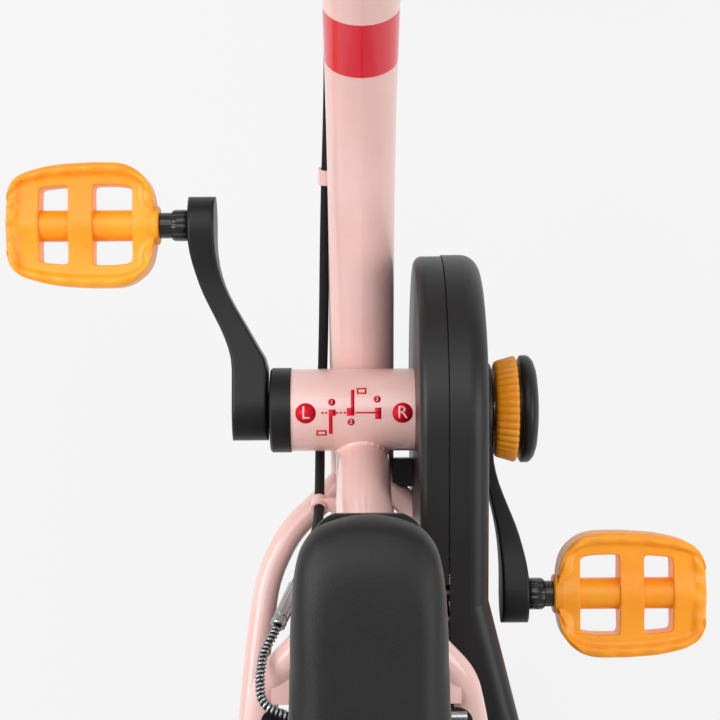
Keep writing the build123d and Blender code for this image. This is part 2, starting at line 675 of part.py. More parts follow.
# ---------------------------------------------------------------- chain guard
def guard_outline(big, small):
    """The guard's side view: two round ends joined by tangent lines."""
    lean = asin((big - small) / STAY_LENGTH)
    turn = drive_tilt - (pi / 2 - lean)
    other = drive_tilt + (pi / 2 - lean)
    a = Vector(BB_X + big * cos(turn), BB_Z + big * sin(turn))
    b = Vector(REAR_X + small * cos(turn), REAR_Z + small * sin(turn))
    c = Vector(REAR_X + small * cos(other), REAR_Z + small * sin(other))
    d = Vector(BB_X + big * cos(other), BB_Z + big * sin(other))
    rear = Vector(REAR_X + small * cos(drive_tilt), REAR_Z + small * sin(drive_tilt))
    front = Vector(BB_X - big * cos(drive_tilt), BB_Z - big * sin(drive_tilt))
    return make_face(Line(a, b) + ThreePointArc(b, rear, c) + Line(c, d) + ThreePointArc(d, front, a))


def guard_block(inset, inner_y, edge):
    """The guard's outer volume, set in all round by inset, with its rim rounded."""
    plane = Plane(origin=(0, -inner_y, 0), x_dir=(1, 0, 0), z_dir=(0, -1, 0))
    face = plane * guard_outline(GUARD_RADIUS - inset, GUARD_REAR_RADIUS - inset)
    block = extrude(face, GUARD_REAR_OUT + 5 - inner_y)
    out, rear_out = GUARD_OUT - inset, GUARD_REAR_OUT - inset
    plan = [
        (BB_X + 200, -inner_y + 1),
        (BB_X + 200, -out),
        (BB_X - 84, -out),
        (BB_X - 160, -rear_out),
        (REAR_X - 100, -rear_out),
        (REAR_X - 100, -inner_y + 1),
    ]
    keep = extrude(Plane.XY * make_face(Polyline(*plan, close=True)), 400)
    block = block & keep
    outer_faces = [f for f in block.faces() if f.normal_at().Y < -0.9]
    rim = {}
    for e in [e for f in outer_faces for e in f.edges()]:
        spot = e @ 0.5
        crease = min(abs(spot.X - (BB_X - 84)), abs(spot.X - (BB_X - 160))) < 0.5
        if not crease or abs(spot.Z - BB_Z) > 20:
            rim[(round(spot.X, 2), round(spot.Z, 2))] = e
    return fillet(list(rim.values()), edge)


guard_outer = guard_block(0, GUARD_SEAM, GUARD_EDGE)
guard_outer -= guard_block(GUARD_WALL, GUARD_SEAM - 3, GUARD_EDGE - GUARD_WALL)
HUB_HOLE = 18.5
guard_outer -= disc(HUB_HOLE, -GUARD_OUT - 5, -GUARD_OUT + 5, BB_X, BB_Z)
guard_outer -= disc(AXLE_RADIUS + 2, -GUARD_REAR_OUT - 5, -GUARD_REAR_OUT + 5, REAR_X, REAR_Z)
for stay_route in (seatstay_route, chainstay_route):
    guard_outer -= mirrored(bent_bar(stay_route, STAY_RADIUS + 1.5))
nodes["chain_guard_outer"] = max(solids_of(guard_outer), key=lambda s: s.volume)

GUARD_STEP = 76.0            # the inner shell ends this far behind the crank axis


def inner_block(inset, low_y, high_y):
    """The inner shell's volume between two distances from the middle plane."""
    plane = Plane(origin=(0, -low_y, 0), x_dir=(1, 0, 0), z_dir=(0, -1, 0))
    face = plane * guard_outline(GUARD_RADIUS - inset, GUARD_REAR_RADIUS - inset)
    block = extrude(face, high_y - low_y)
    return block & box_between((BB_X - GUARD_STEP, -high_y, 0), (BB_X + 200, -low_y, 400))


guard_skin = inner_block(0.6, GUARD_IN, GUARD_SEAM - CLEAR)
skin_rim = [e for e in guard_skin.edges() if abs((e @ 0.5).Y + GUARD_IN) < 0.01]
skin_rim = [e for e in skin_rim if (e @ 0.5).X > BB_X - GUARD_STEP + 1]
guard_skin = fillet(skin_rim, 4.0)
guard_inner = guard_skin - inner_block(GUARD_WALL + 0.6, GUARD_IN + GUARD_WALL, GUARD_SEAM + 5)
guard_inner -= disc(SHELL_RADIUS + CLEAR, -60, 0, BB_X, BB_Z)
stay_room = mirrored(bent_bar(chainstay_route, STAY_RADIUS + 1.5))
guard_inner -= stay_room
tab_at = at_bb(-30, 0, -30)
guard_tab = box_between(
    (tab_at.X - 9, -GUARD_IN - 0.5, tab_at.Z - 5),
    (tab_at.X + 5, -MAIN_RADIUS + 1, tab_at.Z + 5),
)
guard_tab -= Pos(0, -CLEAR, 0) * main_solid + main_solid + stay_room
guard_inner += max(solids_of(guard_tab), key=lambda s: s.volume)
nodes["chain_guard_inner"] = max(solids_of(guard_inner), key=lambda s: s.volume)

# ---------------------------------------------------------------- cranks
HUB_END_RADIUS = 14.5
PEDAL_END_RADIUS = 13.7
CRANK_HUB_IN = 45.0
CRANK_OUT = 82.7
CRANK_THICK = 12.9


def crank_arm(hub_in, hub_out, pedal_in, pedal_out):
    """A crank arm to the left of the crank axis, pointing forwards from the origin."""
    far = CRANK_LENGTH + PEDAL_END_RADIUS
    level = [Vector(1, 0), Vector(1, 0)]
    rise = pedal_in - hub_in
    inner = [(20, hub_in), (34, hub_in + rise * 0.27), (60.6, hub_in + rise * 0.84), (84, pedal_in)]
    rise = pedal_out - hub_out
    outer = [(20, hub_out), (34, hub_out + rise * 0.15), (60.6, hub_out + rise * 0.75), (84, pedal_out)]
    outline = Spline(*inner, tangents=level) + Spline(*outer, tangents=level)
    outline += Polyline(inner[-1], (far, pedal_in), (far, pedal_out), outer[-1])
    outline += Polyline(inner[0], (-HUB_END_RADIUS, hub_in), (-HUB_END_RADIUS, hub_out), outer[0])
    top = Pos(0, 0, -30) * extrude(make_face(outline), 60)
    waist = 9.5
    plane = Plane(origin=(0, 100, 0), x_dir=(1, 0, 0), z_dir=(0, -1, 0))
    side = Circle(HUB_END_RADIUS) + Pos(CRANK_LENGTH, 0) * Circle(PEDAL_END_RADIUS)
    web = [
        (0, HUB_END_RADIUS),
        (14, HUB_END_RADIUS - 2.5),
        (42, waist),
        (64, waist),
        (CRANK_LENGTH - 10, PEDAL_END_RADIUS - 2),
        (CRANK_LENGTH, PEDAL_END_RADIUS),
    ]
    web += [(x, -z) for x, z in reversed(web)]
    side += make_face(Polyline(*web, close=True))
    return top & extrude(plane * side, 80)


left_arm = crank_arm(CRANK_HUB_IN, 62.1, CRANK_OUT - CRANK_THICK, CRANK_OUT)
PEDAL_THREAD = 7.0
left_arm -= disc(PEDAL_THREAD, 50, 100, CRANK_LENGTH, 0)
CLUTCH_Y = 2.0               # the two half spindles meet here
left_crank = Pos(BB_X, 0, BB_Z) * left_arm
left_crank += disc(SPINDLE_RADIUS, CLUTCH_Y, CRANK_HUB_IN + 1, BB_X, BB_Z)
left_crank -= disc(DRAW_BOLT_RADIUS + RUN, CLUTCH_Y - 1, 38, BB_X, BB_Z)
nodes["left_crank"] = left_crank

RIGHT_HUB_OUT = 62.0
RIGHT_HUB_IN = 56.4
RIGHT_HUB_RADIUS = 16.6
RIGHT_BOSS_RADIUS = 22.3
RIGHT_OUT = 78.8             # outer face of the right pedal boss
right_arm = crank_arm(RIGHT_HUB_IN, RIGHT_HUB_OUT, RIGHT_OUT - CRANK_THICK, RIGHT_OUT)
right_arm -= disc(PEDAL_THREAD, 50, 100, CRANK_LENGTH, 0)
right_arm = Pos(BB_X, 0, BB_Z) * Rot(0, 180, 0) * mirrored(right_arm)
right_crank = right_arm + disc(RIGHT_HUB_RADIUS, -RIGHT_HUB_OUT, -CHAIN_LINE - TOOTH_THICK / 2, BB_X, BB_Z)
right_crank += disc(RIGHT_BOSS_RADIUS, -RIGHT_HUB_OUT + 0.8, -RIGHT_HUB_IN, BB_X, BB_Z)
right_crank += disc(RING_BORE, -CHAIN_LINE - TOOTH_THICK, -RIGHT_CUP_FACE - CLEAR, BB_X, BB_Z)
right_crank += disc(SPINDLE_RADIUS, -CHAIN_LINE, CLUTCH_Y - 0.02, BB_X, BB_Z)
right_crank -= disc(DRAW_BOLT_RADIUS + 0.3, -90, 20, BB_X, BB_Z)
nodes["right_crank"] = right_crank

# the knob that draws the two cranks together
KNOB_IN = 62.9
KNOB_OUT = 75.3
KNOB_RADIUS_IN = 23.0
KNOB_RADIUS_OUT = 25.9
WASHER_THICK = 1.5
CAP_IN = 77.2
CAP_OUT = 84.0
knob = cone_y(KNOB_RADIUS_OUT, KNOB_RADIUS_IN, -KNOB_OUT, -KNOB_IN, BB_X, BB_Z)
knob -= disc(9.0, -RIGHT_HUB_OUT - WASHER_THICK - 0.04, -KNOB_IN + 1, BB_X, BB_Z)
knob -= disc(DRAW_BOLT_RADIUS + 0.02, -90, -50, BB_X, BB_Z)
KNOB_RIBS = 44
for i in range(KNOB_RIBS):
    turn = 2 * pi * i / KNOB_RIBS
    reach_in, reach_out = KNOB_RADIUS_IN + 0.35, KNOB_RADIUS_OUT + 0.35
    low = at_bb(reach_in * cos(turn), 1 - KNOB_IN, reach_in * sin(turn))
    high = at_bb(reach_out * cos(turn), 1.4 - KNOB_OUT, reach_out * sin(turn))
    knob -= rod(low, high, 0.8)
nodes["knob_grip"] = knob
cap = cone_y(19.0, 25.8, -CAP_OUT, -CAP_OUT + 4.2, BB_X, BB_Z)
cap += disc(25.8, -CAP_OUT + 4.2, -CAP_IN, BB_X, BB_Z) + disc(14.0, -CAP_IN, -KNOB_OUT - 0.02, BB_X, BB_Z)
cap -= disc(DRAW_BOLT_RADIUS + 2.02, -KNOB_OUT - 2.5, -KNOB_OUT + 1, BB_X, BB_Z)
nodes["knob_cap"] = cap
draw_bolt = disc(DRAW_BOLT_RADIUS, -KNOB_OUT - 2.2, 36, BB_X, BB_Z)
draw_bolt += disc(DRAW_BOLT_RADIUS + 2, -KNOB_OUT - 2.2, -KNOB_OUT - 0.1, BB_X, BB_Z)
nodes["draw_bolt"] = draw_bolt
washer_out = RIGHT_HUB_OUT + 0.02 + WASHER_THICK
nodes["knob_washer"] = ring(8.5, DRAW_BOLT_RADIUS + RUN, -washer_out, -RIGHT_HUB_OUT - 0.02, BB_X, BB_Z)

# ---------------------------------------------------------------- pedals
PEDAL_INNER = 98.6           # pedal body's inner end, from the middle plane
PEDAL_LENGTH = 70.5
PEDAL_HALF = 29.5
PEDAL_THICK = 20.0
COLLAR_RADIUS = 7.6
NECK_RADIUS = 6.2


def pedal_body():
    """A pedal body to the left of the middle plane, with its axle along Y through the origin."""
    inner, outer = PEDAL_INNER, PEDAL_INNER + PEDAL_LENGTH
    corners = [(-PEDAL_HALF, inner), (-PEDAL_HALF - 0.6, inner + 34), (-24.6, outer - 1.8), (0, outer)]
    corners += [(-x, y) for x, y in reversed(corners[:3])]
    outline = make_face(Polyline(*corners, close=True))
    for radius, near_y in ((19, inner), (50, inner + 34), (10, outer - 1.8)):
        rounded = [v for v in outline.vertices() if abs(v.Y - near_y) < 0.01]
        outline = fillet(rounded, radius)
    body = Pos(0, 0, -PEDAL_THICK / 2) * extrude(outline, PEDAL_THICK)
    for low, high, reach in ((10.6, 29.4, 19.0), (41.2, 55.1, 17.6)):
        for side in (-1, 1):
            window = Pos(side * (7.5 + reach) / 2, inner + (low + high) / 2, 0)
            slab = Pos(0, 0, -20) * extrude(RectangleRounded(reach - 7.5, high - low, 2.5), 40)
            body -= window * slab
    flange = disc(9.5, inner - 2.0, inner + 3)
    bore = disc(AXLE_RADIUS + RUN, inner - 3, outer - 7)
    return body + flange - bore


def pedal_spindle(crank_out, pedal_inner):
    """A pedal's spindle on the left, from its thread in the crank to its end inside the pedal."""
    spindle = disc(AXLE_RADIUS, pedal_inner - 3, pedal_inner + PEDAL_LENGTH - 8)
    spindle += disc(NECK_RADIUS, crank_out + 7, pedal_inner - 2.3)
    spindle += disc(COLLAR_RADIUS, crank_out + 0.02, crank_out + 8)
    return spindle + disc(PEDAL_THREAD - 0.02, crank_out - CRANK_THICK, crank_out + 1)


pedal = pedal_body()
LEFT_PEDAL = (BB_X + CRANK_LENGTH, 0, BB_Z)
RIGHT_PEDAL = (BB_X - CRANK_LENGTH, 0, BB_Z)
RIGHT_PEDAL_INNER = 92.9
nodes["pedal_spindles"] = group(
    Pos(*LEFT_PEDAL) * pedal_spindle(CRANK_OUT, PEDAL_INNER),
    Pos(*RIGHT_PEDAL) * mirrored(pedal_spindle(RIGHT_OUT, RIGHT_PEDAL_INNER)),
)
nodes["left_pedal"] = Pos(*LEFT_PEDAL) * pedal
nodes["right_pedal"] = Pos(RIGHT_PEDAL[0], PEDAL_INNER - RIGHT_PEDAL_INNER, BB_Z) * mirrored(pedal)

# ---------------------------------------------------------------- fork and front end
crown = rod(on_steerer(CROWN_U, 0), on_steerer(CROWN_U + 16.7, 0), 17.0)
crown_bar = rod(on_steerer(CROWN_U + 7, 0, -FORK_SPREAD), on_steerer(CROWN_U + 7, 0, FORK_SPREAD), 9.5)
leg_route = [
    on_steerer(CROWN_U + 12, 0, FORK_SPREAD),
    on_steerer(80, 3, FORK_SPREAD + 3),
    on_steerer(8, FORK_RAKE - 2, FRONT_DROPOUT + DROPOUT_THICK / 2),
]
leg = bent_bar(leg_route, 9.0, [120])
tab = disc(12, FRONT_DROPOUT, FRONT_DROPOUT + DROPOUT_THICK, FRONT_X, FRONT_Z)
leg = leg - box_between((0, -90, 0), (600, FRONT_DROPOUT - 3, 240)) + tab
leg -= disc(10.5, FRONT_DROPOUT - 30, FRONT_DROPOUT, FRONT_X, FRONT_Z)
leg -= disc(11.5, FRONT_DROPOUT + DROPOUT_THICK, 99, FRONT_X, FRONT_Z)
front_stud = brake_stud(front_axle_point, front_along, front_face, FORK_SPREAD)
half_fork = leg + front_stud
fork = crown + crown_bar + half_fork + mirrored(half_fork)
STEERER_TOP = HEAD_TOP + 42
fork += rod(on_steerer(CROWN_U, 0), on_steerer(STEERER_TOP, 0), STEERER_RADIUS)
fork -= rod(on_steerer(CROWN_U - 5, 0), on_steerer(STEERER_TOP + 1, 0), STEERER_RADIUS - 2.5)
fork -= disc(AXLE_RADIUS + 0.1, -90, 90, FRONT_X, FRONT_Z)
nodes["fork"] = max(solids_of(fork), key=lambda s: s.volume)

BAR_CLAMP_V = 34.0
STEM_LOW = HEAD_TOP + 11.3
STEM_HIGH = STEERER_TOP - 2
bar_low_u = STEM_HIGH + 6
stem = rod(on_steerer(STEM_LOW, 0), on_steerer(STEERER_TOP + 4, 0), 17.0)
stem += rod(on_steerer(STEM_LOW + 15, 0), on_steerer(bar_low_u, BAR_CLAMP_V), 11.0)
clamp_centre = on_steerer(bar_low_u, BAR_CLAMP_V)
stem += disc(16.5, -19, 19, clamp_centre.X, clamp_centre.Z)
stem -= disc(BAR_RADIUS + 0.02, -50, 50, clamp_centre.X, clamp_centre.Z)
stem -= rod(on_steerer(STEM_LOW - 9, 0), on_steerer(STEERER_TOP + 0.02, 0), STEERER_RADIUS + 0.02)
nodes["stem"] = stem

bar_half = [
    on_steerer(bar_low_u, BAR_CLAMP_V, 0),
    on_steerer(bar_low_u, BAR_CLAMP_V, 42),
    on_steerer(BAR_U - 4, BAR_CLAMP_V - 8, 98),
    on_steerer(BAR_U, -12, GRIP_END - 2),
]
bar_full = [Vector(p.X, -p.Y, p.Z) for p in reversed(bar_half[1:])] + bar_half[1:]
BAR_BENDS = [30, 26, 26, 30]
bar_bore = bent_bar(bar_full, BAR_RADIUS - TUBE_WALL, BAR_BENDS)
nodes["handlebar"] = bent_bar(bar_full, BAR_RADIUS, BAR_BENDS) - bar_bore
grip_end, grip_bend = bar_half[3], bar_half[2]
grip_way = (grip_end - grip_bend).normalized()
GRIP_LENGTH = 92.0
grip = rod(grip_end - grip_way * GRIP_LENGTH, grip_end + grip_way * 5, 15.0)
grip += rod(grip_end + grip_way * 1, grip_end + grip_way * 7, 20.0)
grip += rod(grip_end - grip_way * GRIP_LENGTH, grip_end - grip_way * (GRIP_LENGTH - 4), 18.5)
grip -= rod(grip_end - grip_way * 200, grip_end + grip_way * 0.02, BAR_RADIUS + 0.02)
nodes["grips"] = both_sides(grip)

# brake levers: a clamp on the bar, and a blade that turns on a pin ahead of it
mount_at = grip_end - grip_way * (GRIP_LENGTH + 14)
LEVER_AHEAD = 26.0
lever_ahead = HEAD_FORWARD * 0.9 - HEAD_UP * 0.35
lever_ahead = (lever_ahead - grip_way * lever_ahead.dot(grip_way)).normalized()
mount = rod(mount_at - grip_way * 12, mount_at + grip_way * 9, 15.5)
pivot_at = mount_at + lever_ahead * LEVER_AHEAD
lever_axis = lever_ahead.cross(grip_way).normalized()
mount += rod(pivot_at - lever_axis * 8.0, pivot_at - lever_axis * 4.3, 8.0)
mount += rod(pivot_at + lever_axis * 4.3, pivot_at + lever_axis * 8.0, 8.0)
arm_low = mount_at + lever_ahead * 12
for side in (-1, 1):
    ear_shift = lever_axis * (side * 6.15)
    mount += rod(arm_low + ear_shift - lever_ahead * 6, pivot_at + ear_shift, 1.6)
pin = rod(pivot_at - lever_axis * 8.5, pivot_at + lever_axis * 8.5, 2.5)
barrel_at = mount_at - grip_way * 8 + lever_ahead * 17
BARREL_LENGTH = 12.0
barrel = rod(barrel_at - grip_way * BARREL_LENGTH, barrel_at, 4.5)
mount += barrel + pin
mount -= rod(mount_at - grip_way * 30, mount_at + grip_way * 30, BAR_RADIUS + 0.02)
nodes["brake_lever_mounts"] = both_sides(mount)
blade_route = [
    pivot_at + grip_way * 1,
    pivot_at + grip_way * 22 + lever_ahead * 13,
    pivot_at + grip_way * 88 + lever_ahead * 13,
]
blade = bent_bar(blade_route, 3.9, [18]) + rod(pivot_at - lever_axis * 4, pivot_at + lever_axis * 4, 7.0)
blade -= rod(pivot_at - lever_axis * 20, pivot_at + lever_axis * 20, 2.5 + RUN)
nodes["left_brake_lever"] = blade
nodes["right_brake_lever"] = mirrored(blade)

# ---------------------------------------------------------------- rim brakes
ARM_LENGTH = 84.0
ARM_END = 4.0                # how far the arm reaches past its wire
PAD_UP = 23.0
PAD_LENGTH = 44.0
PAD_HEIGHT = 8.0
PAD_GAP = 1.6
PAD_THICK = 10.0
ARM_STAND = 12.3             # the arm turns this far out along its stud
ARM_TILT = 0.11              # how far the arm leans away from its stay
POST_Y = 35.0


def arm_top(axle, along, face):
    """The top end of a left brake arm."""
    way = (along + face * ARM_TILT).normalized()
    return stud_place(axle, along, 1) + face * ARM_STAND + way * ARM_LENGTH + Vector(0, 2, 0)


def brake_arm(axle, along, face):
    """A left brake arm on its stud, with the pad's post."""
    base = stud_place(axle, along, 1) + face * ARM_STAND
    top = arm_top(axle, along, face)
    way = (along + face * ARM_TILT).normalized()
    knee = base + way * 20 + Vector(0, 5, 0)
    arm = rod(base - face * 5.8, base + face * 5.8, 8.5)
    arm += bent_bar([base, knee, top], 5.6, [30]) + rod(top - way * 5, top + way * ARM_END, 6.4)
    arm -= rod(base - face * 12, base + face * 20, STUD_RADIUS + RUN)
    foot = base + along * PAD_UP
    post_in = RIM_HALF + PAD_GAP + PAD_THICK + 0.02
    arm += rod((foot.X, post_in, foot.Z), (foot.X, POST_Y + 4, foot.Z), 3.2)
    return arm


def brake_pad(axle, along, face):
    """The left brake pad, beside the rim's wall."""
    foot = stud_place(axle, along, 1) + face * ARM_STAND + along * PAD_UP
    start = Vector(foot.X, RIM_HALF + PAD_GAP, foot.Z)
    shape = Plane(origin=start, x_dir=face, z_dir=(0, 1, 0)) * RectangleRounded(PAD_LENGTH, PAD_HEIGHT, 3)
    return extrude(shape, PAD_THICK)


for wheel, axle, along, face in (
    ("front", front_axle_point, front_along, front_face),
    ("rear", rear_axle_point, rear_along, rear_face),
):
    arm, pad_block = brake_arm(axle, along, face), brake_pad(axle, along, face)
    nodes[wheel + "_brake_arm_left"] = arm - pad_block
    nodes[wheel + "_brake_arm_right"] = mirrored(arm - pad_block)
    nodes[wheel + "_brake_pad_left"] = pad_block
    nodes[wheel + "_brake_pad_right"] = mirrored(pad_block)

# ---------------------------------------------------------------- cables
noodle_start = Vector(*cable_route[-1])
FERRULE_RADIUS = 3.2
NOODLE_RADIUS = 2.15
WIRE_RADIUS = 0.8
BOOT_RADIUS = 3.4
ferrule_end = at_bb(-85.5, 36.5, 115)
ferrule_way = (ferrule_end - noodle_start).normalized()
nodes["rear_brake_cable"] = group(
    cable_run, rod(noodle_start + ferrule_way * 0.5, ferrule_end, FERRULE_RADIUS)
)


LINK_UP = ARM_END + CLEAR + NOODLE_RADIUS
LINK_START = 7.0             # the wire starts this far inside the left arm


def brake_link(top, up):
    """The pulling wire, its rubber boot and its anchor, between the tops of two brake arms."""
    at = top + up * LINK_UP
    near_y, far_y = top.Y - LINK_START - 0.02, -top.Y
    wire = rod((at.X, far_y - 4, at.Z), (at.X, near_y, at.Z), WIRE_RADIUS)
    wire += rod((at.X, far_y - 4, at.Z), (at.X, far_y + 4, at.Z), NOODLE_RADIUS)
    return wire + rod((at.X, -2, at.Z), (at.X, near_y - 2, at.Z), BOOT_RADIUS)


rear_arm_top = arm_top(rear_axle_point, rear_along, rear_face)
rear_link_up = (rear_along + rear_face * ARM_TILT).normalized()
noodle_end = rear_arm_top + rear_link_up * LINK_UP
noodle_route = [
    ferrule_end + ferrule_way * 0.3,
    ferrule_end + ferrule_way * 6,
    at_bb(-94.5, 41.8, 121),
    at_bb(-106, 43.4, 128.5),
    at_bb(-115.5, 41.5, 135),
    Vector(noodle_end.X, rear_arm_top.Y - LINK_START, noodle_end.Z),
]
nodes["rear_brake_noodle"] = group(
    bent_bar(noodle_route, NOODLE_RADIUS), brake_link(rear_arm_top, rear_link_up)
)

lever_barrel = barrel_at - grip_way * (BARREL_LENGTH + 0.2)
front_arm_top = arm_top(front_axle_point, front_along, front_face)
front_link_up = (front_along + front_face * ARM_TILT).normalized()
front_cable_route = [
    lever_barrel,
    lever_barrel - grip_way * 32,
    on_steerer(BAR_U - 26, 62, 44),
    on_steerer(BAR_U - 68, 68, 16),
    on_steerer(BAR_U - 116, 70, 9),
    on_steerer(BAR_U - 158, 68, 22),
    on_steerer(BAR_U - 190, 62, 38),
    Vector(front_arm_top.X + 4, front_arm_top.Y + 5, front_arm_top.Z + 16),
]
nodes["front_brake_cable"] = group(
    bent_bar(front_cable_route, CABLE_RADIUS), brake_link(front_arm_top, front_link_up)
)
right_barrel = Vector(lever_barrel.X, -lever_barrel.Y, lever_barrel.Z)
cable_start = Vector(*cable_route[0])
cable_way = (cable_start - Vector(*cable_route[1])).normalized()
loop_route = [
    right_barrel,
    right_barrel + Vector(-grip_way.X, grip_way.Y, -grip_way.Z) * 30,
    on_steerer(BAR_U - 8, 84, -34),
    on_steerer(BAR_U - 42, 96, 4),
    on_steerer(BAR_U - 92, 78, 36),
    on_steerer(BAR_U - 148, 28, 40),
    on_steerer(BAR_U - 188, -12, 32),
    cable_start + cable_way * 34 + Vector(0, 3, 0),
    cable_start + cable_way * 0.3,
]
nodes["rear_brake_cable_loop"] = bent_bar(loop_route, CABLE_RADIUS)

# ---------------------------------------------------------------- display stand
STAND_TUBE = 9.0
STAND_HALF = 120.0
STAND_FRONT = REAR_X + 58.0
STAND_REAR = REAR_X - 122.0
STAND_Z = 10.0
HOOK_LEFT_Y = 77.0
HOOK_RIGHT_Y = 83.0
base_points = [
    Vector(STAND_FRONT, STAND_HALF, STAND_Z),
    Vector(STAND_REAR, STAND_HALF, STAND_Z),
    Vector(STAND_REAR, -STAND_HALF, STAND_Z),
    Vector(STAND_FRONT, -STAND_HALF, STAND_Z),
]
stand = bent_bar(base_points, STAND_TUBE, [45, 45])
HOOK_OVERHANG = 15.0
for side, hook_y in ((1, HOOK_LEFT_Y), (-1, -HOOK_RIGHT_Y)):
    outer_y = hook_y + side * HOOK_OVERHANG
    foot = Vector(REAR_X + 8, side * STAND_HALF, STAND_Z)
    knee = Vector(REAR_X, outer_y, REAR_Z - 34)
    stand += rod(foot, knee, 7.0)
    stand += rod(Vector(REAR_X - 88, side * STAND_HALF, STAND_Z), knee, 5.5)
    stand += rod(knee, Vector(REAR_X, outer_y, REAR_Z - 4), 7.0)
hooks = []
for side, hook_y in ((1, HOOK_LEFT_Y), (-1, -HOOK_RIGHT_Y)):
    low_y, high_y = sorted((hook_y - side * 3, hook_y + side * HOOK_OVERHANG))
    hook = box_between((REAR_X - 12, low_y, REAR_Z - 26), (REAR_X + 12, high_y, REAR_Z + 9))
    hook -= disc(AXLE_RADIUS + 0.15, low_y - 1, high_y + 1, REAR_X, REAR_Z)
    mouth = box_between((REAR_X - 5.15, low_y - 1, REAR_Z), (REAR_X + 5.15, high_y + 1, REAR_Z + 20))
    hooks.append(min(solids_of(hook - mouth - stand), key=lambda s: abs(s.center().Y)))
nodes["stand_frame"] = stand
feet = []
for x in (STAND_FRONT - 16, STAND_REAR + 60):
    for y in (-STAND_HALF, STAND_HALF):
        block = box_between((x - 13, y - 12, 0), (x + 13, y + 12, STAND_Z + 4))
        feet.append(block - rod((x - 20, y, STAND_Z), (x + 20, y, STAND_Z), STAND_TUBE + 0.02))
nodes["stand_fittings"] = group(*hooks, *feet)

# ---------------------------------------------------------------- write every node
os.makedirs("parts", exist_ok=True)
for name, shape in nodes.items():
    export_step(shape, f"parts/{name}.step")
print(len(nodes), "nodes; chainstay length", round(STAY_LENGTH, 2), "crank axis x", round(BB_X, 2))
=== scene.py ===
"""A child's bicycle on a display stand: finishes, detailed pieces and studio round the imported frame."""

import sys

import json
import logging
import math
from dataclasses import dataclass, field
from enum import Enum
from typing import Callable, Sequence

